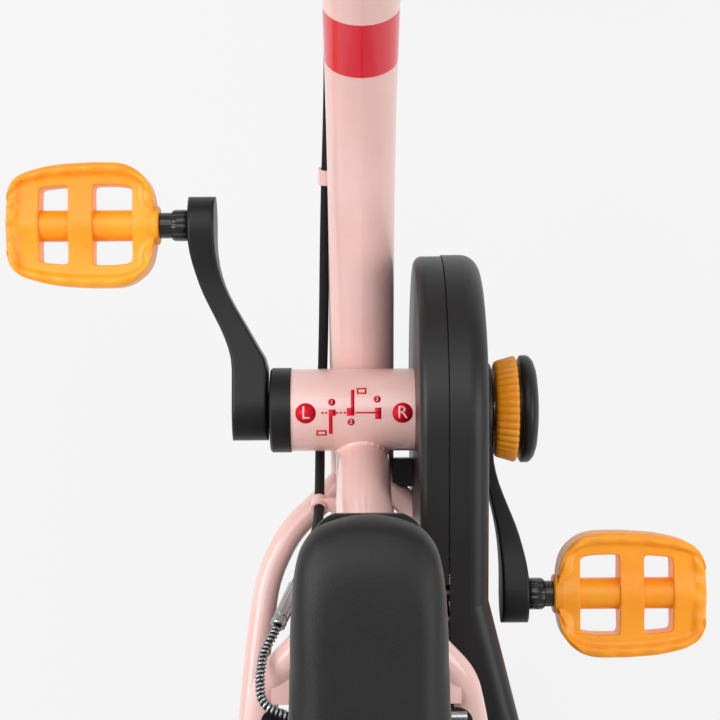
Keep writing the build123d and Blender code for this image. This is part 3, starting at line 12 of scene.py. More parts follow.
import bmesh
import bpy
from bpy.types import Material, Node, NodeSocket, NodeTree, Object
from mathutils import Matrix, Vector
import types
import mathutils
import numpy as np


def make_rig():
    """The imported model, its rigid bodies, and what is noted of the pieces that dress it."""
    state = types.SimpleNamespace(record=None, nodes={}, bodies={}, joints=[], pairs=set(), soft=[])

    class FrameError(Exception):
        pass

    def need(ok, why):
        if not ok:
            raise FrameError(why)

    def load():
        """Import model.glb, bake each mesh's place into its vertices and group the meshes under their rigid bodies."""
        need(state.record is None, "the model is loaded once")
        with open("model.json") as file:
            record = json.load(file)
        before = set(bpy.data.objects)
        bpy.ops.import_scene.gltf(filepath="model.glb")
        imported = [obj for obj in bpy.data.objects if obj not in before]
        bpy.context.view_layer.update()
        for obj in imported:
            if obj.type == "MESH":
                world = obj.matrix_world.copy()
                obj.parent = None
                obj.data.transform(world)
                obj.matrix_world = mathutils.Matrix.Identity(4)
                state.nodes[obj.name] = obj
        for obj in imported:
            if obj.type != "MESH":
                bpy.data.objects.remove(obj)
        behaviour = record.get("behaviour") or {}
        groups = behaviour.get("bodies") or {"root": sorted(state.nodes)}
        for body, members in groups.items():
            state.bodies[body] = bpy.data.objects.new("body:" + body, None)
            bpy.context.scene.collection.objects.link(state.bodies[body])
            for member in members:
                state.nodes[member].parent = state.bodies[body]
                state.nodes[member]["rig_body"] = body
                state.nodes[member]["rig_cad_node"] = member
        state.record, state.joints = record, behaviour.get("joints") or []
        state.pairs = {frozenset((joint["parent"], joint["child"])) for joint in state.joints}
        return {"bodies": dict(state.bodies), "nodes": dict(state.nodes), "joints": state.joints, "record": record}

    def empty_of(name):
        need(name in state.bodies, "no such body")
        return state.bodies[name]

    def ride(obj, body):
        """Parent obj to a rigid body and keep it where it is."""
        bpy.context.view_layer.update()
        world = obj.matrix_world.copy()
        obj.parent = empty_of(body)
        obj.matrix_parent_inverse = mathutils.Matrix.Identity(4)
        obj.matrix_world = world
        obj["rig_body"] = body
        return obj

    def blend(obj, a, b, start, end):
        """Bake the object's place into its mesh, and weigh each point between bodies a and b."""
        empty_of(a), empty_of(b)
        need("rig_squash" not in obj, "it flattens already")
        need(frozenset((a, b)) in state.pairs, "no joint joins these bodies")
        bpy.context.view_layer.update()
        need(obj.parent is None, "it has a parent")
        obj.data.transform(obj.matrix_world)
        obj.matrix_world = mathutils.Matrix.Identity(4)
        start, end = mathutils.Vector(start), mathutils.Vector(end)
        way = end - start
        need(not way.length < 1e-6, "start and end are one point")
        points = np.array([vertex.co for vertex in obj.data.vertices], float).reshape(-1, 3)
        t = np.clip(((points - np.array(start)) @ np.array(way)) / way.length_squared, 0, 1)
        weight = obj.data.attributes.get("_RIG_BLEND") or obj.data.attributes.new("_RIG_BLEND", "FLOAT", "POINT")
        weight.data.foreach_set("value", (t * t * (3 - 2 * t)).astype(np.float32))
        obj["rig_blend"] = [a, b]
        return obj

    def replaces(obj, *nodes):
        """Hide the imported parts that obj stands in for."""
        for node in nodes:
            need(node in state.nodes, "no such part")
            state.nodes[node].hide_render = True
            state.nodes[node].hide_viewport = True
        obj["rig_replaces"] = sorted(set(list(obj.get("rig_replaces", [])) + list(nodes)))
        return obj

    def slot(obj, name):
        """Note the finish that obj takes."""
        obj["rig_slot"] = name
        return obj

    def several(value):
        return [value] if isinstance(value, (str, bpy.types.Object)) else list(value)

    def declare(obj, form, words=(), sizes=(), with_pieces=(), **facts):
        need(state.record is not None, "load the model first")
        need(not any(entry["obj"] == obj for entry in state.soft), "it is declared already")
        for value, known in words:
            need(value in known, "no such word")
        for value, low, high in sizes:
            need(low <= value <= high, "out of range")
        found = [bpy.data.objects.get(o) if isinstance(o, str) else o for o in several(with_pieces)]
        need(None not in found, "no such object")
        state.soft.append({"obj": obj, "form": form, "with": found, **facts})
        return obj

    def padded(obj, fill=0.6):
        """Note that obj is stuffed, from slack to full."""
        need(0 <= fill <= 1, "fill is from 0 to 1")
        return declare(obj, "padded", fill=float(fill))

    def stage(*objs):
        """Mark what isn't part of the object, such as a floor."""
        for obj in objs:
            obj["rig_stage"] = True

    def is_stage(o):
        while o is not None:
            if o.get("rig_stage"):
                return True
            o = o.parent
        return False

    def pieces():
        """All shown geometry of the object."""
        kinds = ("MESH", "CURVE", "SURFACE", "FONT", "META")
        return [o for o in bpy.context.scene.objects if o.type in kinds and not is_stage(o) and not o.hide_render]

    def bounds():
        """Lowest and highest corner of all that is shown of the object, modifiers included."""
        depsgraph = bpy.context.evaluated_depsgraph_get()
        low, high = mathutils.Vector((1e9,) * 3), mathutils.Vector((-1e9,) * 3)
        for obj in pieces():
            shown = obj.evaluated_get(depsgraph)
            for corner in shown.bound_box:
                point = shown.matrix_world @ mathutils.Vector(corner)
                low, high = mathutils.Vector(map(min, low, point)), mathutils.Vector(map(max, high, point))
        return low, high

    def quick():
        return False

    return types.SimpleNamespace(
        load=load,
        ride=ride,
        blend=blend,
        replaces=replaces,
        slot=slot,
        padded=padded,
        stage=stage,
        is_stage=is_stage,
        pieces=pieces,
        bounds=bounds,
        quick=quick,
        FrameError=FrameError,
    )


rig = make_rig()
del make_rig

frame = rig.load()
CAD_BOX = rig.bounds()

LOG = logging.getLogger("bicycle")
MM = 0.001
MERGE = 0.000001
BB = Vector((-0.076206, 0.0, 0.178))
REAR_AXLE = Vector((-0.335, 0.0, 0.180))
FRONT_AXLE = Vector((0.335, 0.0, 0.174))
HEAD_UP = Vector((-0.358368, 0.0, 0.93358))
HEAD_FORWARD = Vector((0.93358, 0.0, 0.358368))
AXIS_FOOT = Vector((0.306993, 0.0, 0.163249))
SEAT_UP = Vector((-math.cos(math.radians(72)), 0.0, math.sin(math.radians(72))))

Colour = tuple[float, float, float, float]
Knots = Sequence[tuple[float, float]]
Shape = bmesh.types.BMesh
Gap = Callable[[Vector], float]


def dye(code: str) -> Colour:
    """The linear colour of a six-digit hex code.

    Args:
        code: The colour as RRGGBB.

    Returns:
        Linear red, green, blue and an alpha of 1.
    """
    parts = [int(code[i : i + 2], 16) / 255 for i in (0, 2, 4)]
    red, green, blue = (p / 12.92 if p <= 0.04045 else ((p + 0.055) / 1.055) ** 2.4 for p in parts)
    return red, green, blue, 1.0


def through(knots: Knots, x: float) -> float:
    """The height at x of a smooth line through the knots, level before the first and after the last.

    Args:
        knots: Rising x values with their heights.
        x: Where the height is wanted.

    Returns:
        The height.
    """
    if x <= knots[0][0]:
        return knots[0][1]
    for i, ((x0, h0), (x1, h1)) in enumerate(zip(knots, knots[1:])):
        if x > x1:
            continue
        before, after = knots[max(i - 1, 0)], knots[min(i + 2, len(knots) - 1)]
        slope_in = 0.0 if i == 0 else (h1 - before[1]) / (x1 - before[0])
        slope_out = 0.0 if i + 2 == len(knots) else (after[1] - h0) / (after[0] - x0)
        span, t = x1 - x0, (x - x0) / (x1 - x0)
        start = (2 * t**3 - 3 * t**2 + 1) * h0 + (t**3 - 2 * t**2 + t) * span * slope_in
        return start + (3 * t**2 - 2 * t**3) * h1 + (t**3 - t**2) * span * slope_out
    return knots[-1][1]


# ------------------------------------------------------------------ finishes


@dataclass
class Bench:
    """Adds and joins the nodes of one tree."""

    tree: NodeTree

    def add(self, kind: str, **settings: object) -> Node:
        """Adds a node; a setting named after an input sets that input, any other its own property."""
        node = self.tree.nodes.new("ShaderNode" + kind)
        for name, value in settings.items():
            socket = node.inputs.get(name.replace("_", " ").title())
            if socket is not None:
                self.feed(value, socket)
            else:
                setattr(node, name, value)
        return node

    def feed(self, value: object, socket: NodeSocket) -> None:
        """Joins a socket to another, or sets its value."""
        if isinstance(value, NodeSocket):
            self.tree.links.new(value, socket)
        else:
            socket.default_value = value

    def sum(self, operation: str, *values: object, clamp: bool = False) -> NodeSocket:
        """One maths node.

        Args:
            operation: Blender's name for the sum.
            values: Sockets or numbers, in order.
            clamp: Whether the result stays between 0 and 1.

        Returns:
            The socket that holds the result.
        """
        node = self.tree.nodes.new("ShaderNodeMath")
        node.operation, node.use_clamp = operation, clamp
        for value, socket in zip(values, node.inputs):
            self.feed(value, socket)
        return node.outputs[0]

    def blend(self, share: object, first: object, second: object) -> NodeSocket:
        """Mixes two colours by a share.

        Args:
            share: 0 gives the first colour and 1 the second.
            first: A colour or its socket.
            second: A colour or its socket.

        Returns:
            The mixed colour's socket.
        """
        node = self.tree.nodes.new("ShaderNodeMix")
        node.data_type = "RGBA"
        for value, name in ((share, "Factor_Float"), (first, "A_Color"), (second, "B_Color")):
            self.feed(value, next(s for s in node.inputs if s.identifier == name))
        return next(s for s in node.outputs if s.identifier == "Result_Color")

    def step(self, value: object, low: float, high: float) -> NodeSocket:
        """A soft step from 0 at low to 1 at high."""
        node = self.tree.nodes.new("ShaderNodeMapRange")
        node.interpolation_type = "SMOOTHSTEP"
        for given, name in ((value, "Value"), (low, "From Min"), (high, "From Max")):
            self.feed(given, node.inputs[name])
        return node.outputs[0]

    def place(self) -> NodeSocket:
        """The point on the piece in the row frame."""
        return self.add("TexCoord").outputs["Object"]

    def along(self, way: Vector, start: Vector) -> NodeSocket:
        """How far the point lies along a direction from a start point, in metres."""
        moved = self.add("VectorMath", operation="SUBTRACT")
        self.feed(self.place(), moved.inputs[0])
        self.feed(tuple(start), moved.inputs[1])
        dot = self.add("VectorMath", operation="DOT_PRODUCT")
        self.feed(moved.outputs[0], dot.inputs[0])
        self.feed(tuple(way), dot.inputs[1])
        return dot.outputs["Value"]


Paint = Callable[[Bench, NodeSocket], NodeSocket]


class Effect(Enum):
    """The shared effects, each a node group built once."""

    GRAIN = "surface_grain"
    DUST = "settled_dust"

    def sockets(self) -> dict[str, list[tuple[str, str]]]:
        """The group's named inputs and outputs with their kinds."""
        number, colour, vector = "NodeSocketFloat", "NodeSocketColor", "NodeSocketVector"
        if self is Effect.GRAIN:
            given = [("Colour", colour), ("Shade", colour), ("Roughness", number), ("Spread", number)]
            given += [("Scale", number), ("Depth", number), ("Edge", number)]
            result = [("Colour", colour), ("Roughness", number), ("Normal", vector)]
            return {"INPUT": given, "OUTPUT": result}
        return {"INPUT": [("Amount", number)], "OUTPUT": [("Mask", number)]}

    def group(self) -> NodeTree:
        """Finds the group, or builds it the first time.

        Returns:
            The node group.
        """
        found = bpy.data.node_groups.get(self.value)
        if found:
            return found
        tree = bpy.data.node_groups.new(self.value, "ShaderNodeTree")
        for side, sockets in self.sockets().items():
            for name, kind in sockets:
                tree.interface.new_socket(name=name, in_out=side, socket_type=kind)
        bench = Bench(tree)
        given = tree.nodes.new("NodeGroupInput").outputs
        result = tree.nodes.new("NodeGroupOutput").inputs
        if self is Effect.GRAIN:
            self.draw_grain(bench, given, result)
        else:
            self.draw_dust(bench, given, result)
        return tree

    @staticmethod
    def draw_grain(bench: Bench, given: dict, result: dict) -> None:
        """Fine moulded or sprayed grain, slow drift of tone and gloss, and softly broken edges."""
        place = bench.place()
        drift = bench.add("TexNoise", vector=place, scale=23.0, detail=3.0).outputs["Fac"]
        fine = bench.add("TexNoise", vector=place, scale=given["Scale"], detail=4.0).outputs["Fac"]
        tone = bench.step(bench.sum("ADD", bench.sum("MULTIPLY", fine, 0.4), drift), 0.45, 0.95)
        bench.feed(bench.blend(tone, given["Colour"], given["Shade"]), result["Colour"])
        centred = bench.sum("SUBTRACT", bench.sum("ADD", drift, bench.sum("MULTIPLY", fine, 0.5)), 0.75)
        gloss = bench.sum("MULTIPLY_ADD", centred, given["Spread"], given["Roughness"], clamp=True)
        bench.feed(gloss, result["Roughness"])
        broken = bench.add("Bevel", samples=4, radius=given["Edge"]).outputs["Normal"]
        bump = bench.add("Bump", height=fine, distance=given["Depth"], normal=broken)
        bench.feed(bump.outputs["Normal"], result["Normal"])

    @staticmethod
    def draw_dust(bench: Bench, given: dict, result: dict) -> None:
        """A thin, broken film that lies where a surface looks up."""
        up = bench.add("SeparateXYZ")
        bench.feed(bench.add("NewGeometry").outputs["Normal"], up.inputs[0])
        cloud = bench.add("TexNoise", vector=bench.place(), scale=60.0, detail=6.0).outputs["Fac"]
        film = bench.sum("MULTIPLY", bench.step(up.outputs["Z"], 0.2, 1.0), bench.step(cloud, 0.4, 0.75))
        bench.feed(bench.sum("MULTIPLY", film, given["Amount"]), result["Mask"])


@dataclass(frozen=True)
class Finish:
    """One finish: its colours and gloss, with the grain that breaks them up."""

    slot: str
    colour: str
    shade: str
    roughness: float = 0.4
    spread: float = 0.15
    metallic: float = 0.0
    coat: float = 0.0
    coat_roughness: float = 0.08
    scale: float = 900.0
    depth: float = 0.00002
    edge: float = 0.0005
    dust: float = 0.0
    sheen: float = 0.0
    subsurface: float = 0.0
    specular: float = 0.5

    def build(self, name: str, paint: Paint | None = None) -> Material:
        """Makes the material.

        Args:
            name: The material's name.
            paint: Changes the grained colour, given the bench and the colour's socket.

        Returns:
            The finished material.
        """
        material = bpy.data.materials.new(name)
        material.use_nodes = True
        bench = Bench(material.node_tree)
        shader = material.node_tree.nodes["Principled BSDF"]
        grain = bench.tree.nodes.new("ShaderNodeGroup")
        grain.node_tree = Effect.GRAIN.group()
        for socket, value in (
            ("Colour", dye(self.colour)),
            ("Shade", dye(self.shade)),
            ("Roughness", self.roughness),
            ("Spread", self.spread),
            ("Scale", self.scale),
            ("Depth", self.depth),
            ("Edge", self.edge),
        ):
            bench.feed(value, grain.inputs[socket])
        colour = grain.outputs["Colour"]
        if paint:
            colour = paint(bench, colour)
        if self.dust:
            film = bench.tree.nodes.new("ShaderNodeGroup")
            film.node_tree = Effect.DUST.group()
            bench.feed(self.dust, film.inputs["Amount"])
            colour = bench.blend(film.outputs["Mask"], colour, dye("B9B4AC"))
        bench.feed(colour, shader.inputs["Base Color"])
        bench.feed(grain.outputs["Roughness"], shader.inputs["Roughness"])
        bench.feed(grain.outputs["Normal"], shader.inputs["Normal"])
        for socket, value in (
            ("Metallic", self.metallic),
            ("Coat Weight", self.coat),
            ("Coat Roughness", self.coat_roughness),
            ("Sheen Weight", self.sheen),
            ("Subsurface Weight", self.subsurface),
            ("Specular IOR Level", self.specular),
        ):
            bench.feed(value, shader.inputs[socket])
        if self.subsurface:
            shader.inputs["Subsurface Scale"].default_value = 0.004
        return material


PINK_PAINT = Finish("pink", "EDC5BE", "E6BAB2", 0.3, 0.08, coat=0.6, scale=1400, depth=0.000004)
BLACK_METAL = Finish(
    "black_metal", "0C0C0C", "121112", 0.4, 0.12, scale=1600, depth=0.00001, specular=0.34
)
BLACK_GLOSS = Finish(
    "black_metal", "0B0B0B", "101010", 0.2, 0.1, coat=0.2, scale=900, depth=0.000004
)
BLACK_PLASTIC = Finish(
    "black_plastic", "111011", "171617", 0.44, 0.14, scale=1900, depth=0.00003, specular=0.36
)
GUARD_PLASTIC = Finish(
    "black_plastic", "151415", "1A191A", 0.4, 0.1, scale=2400, depth=0.000018, specular=0.38
)
RUBBER = Finish(
    "black_rubber", "0F0F10", "171717", 0.62, 0.2, scale=1200, depth=0.00005, specular=0.25
)
TYRE = Finish(
    "tyre", "131314", "1E1E1E", 0.72, 0.2, scale=700, depth=0.00008, dust=0.1, specular=0.25
)
STEEL = Finish("steel", "B9BABD", "9C9DA1", 0.24, 0.18, metallic=1.0, scale=2200, depth=0.000006)
CHAIN_STEEL = Finish(
    "chain_steel", "77756F", "4C4A46", 0.34, 0.25, metallic=1.0, scale=1500, depth=0.00001
)
ORANGE = Finish(
    "orange_plastic", "FFA51E", "F8920A", 0.36, 0.12, scale=1500, depth=0.00002, subsurface=0.15
)
SADDLE = Finish(
    "saddle_cover", "0D0C0D", "131213", 0.46, 0.1, scale=2600, depth=0.00009, sheen=0.03, specular=0.36
)
STAND_COAT = Finish(
    "stand_coat", "1D1E20", "27282A", 0.46, 0.16, scale=1100, depth=0.00004, dust=0.05
)
RED = "D70C2A"
RED_PRINT = Finish(
    "pink", RED, "CE0A26", 0.45, 0.06, scale=1400, depth=0.000001, edge=0.0, specular=0.2
)
PINK_PRINT = Finish(
    "pink", "F2CCC6", "EDC5BE", 0.45, 0.06, scale=1400, depth=0.000001, edge=0.0, specular=0.2
)


@dataclass
class Paintbox:
    """Holds one material for each finish."""

    made: dict[str, Material] = field(default_factory=dict)

    def get(self, finish: Finish) -> Material:
        """The finish's material, made the first time it is asked for."""
        name = next(n.lower() for n, f in globals().items() if f is finish)
        if name not in self.made:
            self.made[name] = finish.build(name)
        return self.made[name]

    def banded_tube(self) -> Material:
        """Pink paint with the red band round the main tube."""
        way = Vector((0.72, 0.0, 0.69)).normalized()
        middle = BB + Vector((0.1692, 0.0, 0.0627))

        def band(bench: Bench, colour: NodeSocket) -> NodeSocket:
            """Lays red between the band's two edges."""
            far = bench.sum("ABSOLUTE", bench.along(way, middle))
            return bench.blend(bench.step(far, 0.0142, 0.0140), colour, dye(RED))

        return PINK_PAINT.build("banded_paint", band)

    def stand_fittings(self) -> Material:
        """Rubber feet below, coated hooks above."""

        def feet(bench: Bench, colour: NodeSocket) -> NodeSocket:
            """Darkens the part near the floor to rubber."""
            height = bench.along(Vector((0, 0, 1)), Vector((0, 0, 0)))
            return bench.blend(bench.step(height, 0.03, 0.032), dye("161617"), colour)

        return STAND_COAT.build("fitting_coat", feet)


# ------------------------------------------------------------------ making pieces


@dataclass
class Workshop:
    """Turns shapes into dressed pieces that ride on the frame's bodies."""

    paints: Paintbox

    def piece(
        self,
        name: str,
        shape: Shape,
        finish: Finish,
        body: str,
        replaces: Sequence[str] = (),
        sharp: float = 35.0,
    ) -> Object:
        """Closes a shape into an object and gives it its finish and body.

        Args:
            name: The piece's name.
            shape: Its mesh in the row frame, freed here.
            finish: Its finish.
            body: The body that it moves with, or nothing where it is blended or ridden later.
            replaces: The frame's nodes that it stands for.
            sharp: Edges that turn by more than this many degrees stay crisp.

        Returns:
            The piece.
        """
        bmesh.ops.remove_doubles(shape, verts=shape.verts, dist=MERGE)
        bmesh.ops.recalc_face_normals(shape, faces=shape.faces)
        mesh = bpy.data.meshes.new(name)
        shape.to_mesh(mesh)
        shape.free()
        mesh.materials.append(self.paints.get(finish))
        mesh.shade_smooth()
        mesh.set_sharp_from_angle(angle=math.radians(sharp))
        made = bpy.data.objects.new(name, mesh)
        bpy.context.scene.collection.objects.link(made)
        if body:
            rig.ride(made, body)
        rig.slot(made, finish.slot)
        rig.replaces(made, *replaces)
        LOG.info("%s: %d faces on %s", name, len(mesh.polygons), body or "two bodies")
        return made

    @staticmethod
    def rounded(made: Object, levels: int = 1) -> None:
        """Adds a live subdivision surface."""
        modifier = made.modifiers.new("rounding", "SUBSURF")
        modifier.levels = modifier.render_levels = levels

    @staticmethod
    def softened(made: Object, width: float, angle: float = 50.0) -> None:
        """Adds a live chamfer to the edges that turn by more than an angle in degrees."""
        modifier = made.modifiers.new("edges", "BEVEL")
        modifier.width, modifier.segments = width, 1
        modifier.limit_method, modifier.angle_limit = "ANGLE", math.radians(angle)


def turned(
    shape: Shape,
    profile: Knots,
    centre: Vector,
    axis: Vector,
    steps: int,
    wave: Callable[[float], float] | None = None,
) -> None:
    """Spins a half section about an axis.

    Args:
        shape: The mesh that takes the new faces.
        profile: (distance along the axis, radius) points, in millimetres.
        centre: Where the distances start.
        axis: The axis' direction.
        steps: Segments in the full turn.
        wave: Scales the radius at an angle, where the piece is fluted.
    """
    before = set(shape.verts)
    turn = axis.to_track_quat("Z", "Y").to_matrix().to_4x4()
    verts = [shape.verts.new((radius * MM, 0.0, height * MM)) for height, radius in profile]
    edges = [shape.edges.new(pair) for pair in zip(verts, verts[1:])]
    half, up = verts + edges, (0, 0, 1)
    bmesh.ops.spin(shape, geom=half, cent=(0, 0, 0), axis=up, angle=math.tau, steps=steps, use_merge=True)
    made = [v for v in shape.verts if v not in before]
    bmesh.ops.remove_doubles(shape, verts=made, dist=MERGE)
    made = [v for v in shape.verts if v not in before]
    if wave:
        for vert in made:
            grow = wave(math.atan2(vert.co.y, vert.co.x))
            vert.co.x, vert.co.y = vert.co.x * grow, vert.co.y * grow
    bmesh.ops.transform(shape, matrix=Matrix.Translation(centre) @ turn, verts=made)


def rod(
    shape: Shape, start: Vector, end: Vector, radius: float, sides: int, tip: float | None = None
) -> None:
    """Adds a closed round bar or cone between two points.

    Args:
        shape: The mesh that takes it.
        start: One end's middle.
        end: The other end's middle.
        radius: The radius at the start.
        sides: How many sides it has.
        tip: The radius at the end, where it isn't the same.
    """
    way = end - start
    turn = way.to_track_quat("Z", "Y").to_matrix().to_4x4()
    bmesh.ops.create_cone(
        shape,
        cap_ends=True,
        segments=sides,
        radius1=radius,
        radius2=radius if tip is None else tip,
        depth=way.length,
        matrix=Matrix.Translation((start + end) / 2) @ turn,
    )


def drawn(
    shape: Shape, stations: Sequence[float], sides: int, section: Callable[[float, float], Vector]
) -> None:
    """Draws a closed ring along its stations, extruding it from each to the next, and caps both ends.

    Args:
        shape: The mesh that takes it.
        stations: Where the rings stand.
        sides: The ring's vertices.
        section: The place of a ring's vertex, from its station and its angle.
    """
    ring = bmesh.ops.create_circle(shape, segments=sides, radius=1.0)["verts"]
    edges = list({e for v in ring for e in v.link_edges})
    angles = {v: math.tau * i / sides for i, v in enumerate(ring)}
    for vert, angle in angles.items():
        vert.co = section(stations[0], angle)
    bmesh.ops.contextual_create(shape, geom=edges)
    for station in stations[1:]:
        grown = bmesh.ops.extrude_edge_only(shape, edges=edges)["geom"]
        fresh = [g for g in grown if isinstance(g, bmesh.types.BMVert)]
        older = {v.co.copy().freeze(): a for v, a in angles.items()}
        angles = {v: older[v.co.copy().freeze()] for v in fresh}
        lines = [g for g in grown if isinstance(g, bmesh.types.BMEdge)]
        edges = [line for line in lines if all(v in angles for v in line.verts)]
        for vert, angle in angles.items():
            vert.co = section(station, angle)
    bmesh.ops.contextual_create(shape, geom=edges)


def boxy(angle: float, half_width: float, half_height: float, squareness: float) -> tuple[float, float]:
    """A point of a rounded box section at an angle."""
    c, s = math.cos(angle), math.sin(angle)
    across = half_width * math.copysign(abs(c) ** squareness, c)
    return across, half_height * math.copysign(abs(s) ** squareness, s)


def line_of(points: Sequence[Vector], fineness: int = 12) -> list[Vector]:
    """The smooth line that a route's points steer.

    Args:
        points: The route.
        fineness: Points for each run.

    Returns:
        Points along the line.
    """
    curve = bpy.data.curves.new("route", "CURVE")
    curve.dimensions = "3D"
    curve.resolution_u = fineness
    spline = curve.splines.new("NURBS")
    spline.points.add(len(points) - 1)
    for knot, point in zip(spline.points, points):
        knot.co = (*point, 1.0)
    spline.order_u = 3
    spline.use_endpoint_u = True
    holder = bpy.data.objects.new("route", curve)
    mesh = bpy.data.meshes.new_from_object(holder)
    found = [v.co.copy() for v in mesh.vertices]
    bpy.data.objects.remove(holder)
    bpy.data.curves.remove(curve)
    bpy.data.meshes.remove(mesh)
    return found


def hose(shape: Shape, line: Sequence[Vector], radius: float, sides: int) -> None:
    """Adds a closed round tube along a line."""
    neighbours = zip([line[0], *line[:-1]], [*line[1:], line[-1]])
    ways = [(after - before).normalized() for before, after in neighbours]
    side = ways[0].orthogonal().normalized()
    sides_at = []
    for way in ways:
        side = (side - way * side.dot(way)).normalized()
        sides_at.append((side, way.cross(side)))

    def section(station: float, angle: float) -> Vector:
        """A point of the tube's wall."""
        u, v = sides_at[int(station)]
        return line[int(station)] + (u * math.cos(angle) + v * math.sin(angle)) * radius

    drawn(shape, range(len(line)), sides, section)


# ------------------------------------------------------------------ pedals and cranks


@dataclass
class Pedal:
    """A moulded pedal: a plate with four windows, a waved raised rim and a barrel round the spindle."""

    side: int
    axis_x: float
    inner_y: float
    half: float = 29.5
    length: float = 70.5
    plate: float = 6.6
    crest: float = 9.9
    outer_half: float = 24.4
    lip: float = 0.9
    rows: tuple[float, ...] = (
        0, 1.0, 2.6, 4.4, 6.2, 8.4, 10.6, 13.0, 16.5, 20, 23.5, 27, 29.4, 31.6, 35.3, 39, 41.2,
        43.4, 46.2, 49, 52.7, 55.1, 57.4, 60.0, 62.6, 64.4, 65.6, 67.4, 69, 70.1, 70.5,
    )  # fmt: skip
    columns: tuple[float, ...] = (0, 3, 6, 9, 12, 15.4, 19, 21.5, 23.6, 24.8, 26.2, 27.6, 28.8, 29.5)

    def half_width(self, along: float) -> float:
        """The plate's half width at a distance from its inner end."""
        side = through(((0, 29.2), (20, 29.7), (34, 29.6), (50, 28.2), (70, self.outer_half)), along)
        if along < 19:
            return side - 19 + math.sqrt(max(0.0, 361 - (19 - along) ** 2))
        far = self.length - along
        return side - 10 + math.sqrt(max(0.0, 100 - (10 - far) ** 2)) if far < 10 else side

    def height(self, across: float, along: float) -> float:
        """The top surface's height over the middle plane, by the grid's own lines."""
        side_share = through(((23.6, 0), (24.8, 0.75), (26.2, 1), (27.8, 0.95), (29.5, 0.5)), abs(across))
        end_share = through(((64.4, 0), (65.6, 0.75), (67.4, 1), (69.4, 0.9), (70.5, 0.5)), along)
        start_share = through(((0, 0.5), (1.5, 0.95), (3.4, 1), (5.2, 0.7), (6.4, 0)), along)
        start_share *= through(((12, 0), (17, 1)), abs(across))
        rim = max(side_share, end_share, start_share)
        phase = along / 12.6 if abs(across) > 23 else across / 11.5
        wave = 0.5 + 0.5 * math.cos(math.tau * phase + self.side)
        crest = self.crest - 1.5 * wave - self.plate
        hump = 2.3 * math.exp(-((across / 7.5) ** 2)) * (1 - end_share)
        return self.plate + hump + crest * rim

    def in_window(self, across: float, along: float) -> bool:
        """Whether a point lies in one of the plate's openings."""
        return abs(across) < 19 and (10.6 < along < 29.4 or 41.2 < along < 55.1)

    def place(self, across: float, along: float, up: float) -> Vector:
        """A point of the pedal in the row frame, from its own measures."""
        bulge = 1.9 * (across / self.half) ** 2 * max(0.0, (along - 45) / 25)
        y = self.inner_y + (along - bulge) * MM
        return Vector((self.axis_x + across * MM, self.side * y, BB.z + up * MM))

    def make(self, shop: Workshop, name: str) -> None:
        """Builds the body and its barrel."""
        columns = [-c for c in reversed(self.columns[1:])] + list(self.columns)
        shape = bmesh.new()
        wide, long = len(columns) - 1, len(self.rows) - 1
        grid = bmesh.ops.create_grid(shape, x_segments=wide, y_segments=long, size=0.5)
        for vert in grid["verts"]:
            column = columns[round((vert.co.x + 0.5) * wide)]
            row = self.rows[round((vert.co.y + 0.5) * long)]
            vert.co = Vector((column, row, 0.0))
        open_faces = [f for f in shape.faces if self.in_window(*f.calc_center_median().xy)]
        bmesh.ops.delete(shape, geom=open_faces, context="FACES")
        for vert in shape.verts:
            across, along = vert.co.xy
            vert.co.z = self.height(across, along)
            vert.co.x = across * self.half_width(along) / self.half
        for drop in (self.lip, None):
            rim = [e for e in shape.edges if e.is_boundary]
            grown = bmesh.ops.extrude_edge_only(shape, edges=rim)["geom"]
            for vert in (g for g in grown if isinstance(g, bmesh.types.BMVert)):
                vert.co.z = 0.0 if drop is None else vert.co.z - drop
        whole = shape.verts[:] + shape.edges[:] + shape.faces[:]
        bmesh.ops.mirror(shape, geom=whole, axis="Z", merge_dist=0.001)
        for vert in shape.verts:
            vert.co = self.place(*vert.co)
        body = shop.piece(name + "_body", shape, ORANGE, name, [name], sharp=60)
        shop.rounded(body, 1)
        barrel = bmesh.new()
        start = Vector((self.axis_x, self.side * self.inner_y, BB.z))
        way = Vector((0, self.side, 0))
        profile = [(-2, 5.6), (-2, 8.6), (-1.4, 9.3), (2.2, 9.5), (3, 7.5), (60, 7.5), (60, 5.6), (-2, 5.6)]
        turned(barrel, profile, start, way, 48)
        shop.piece(name + "_barrel", barrel, ORANGE, name)


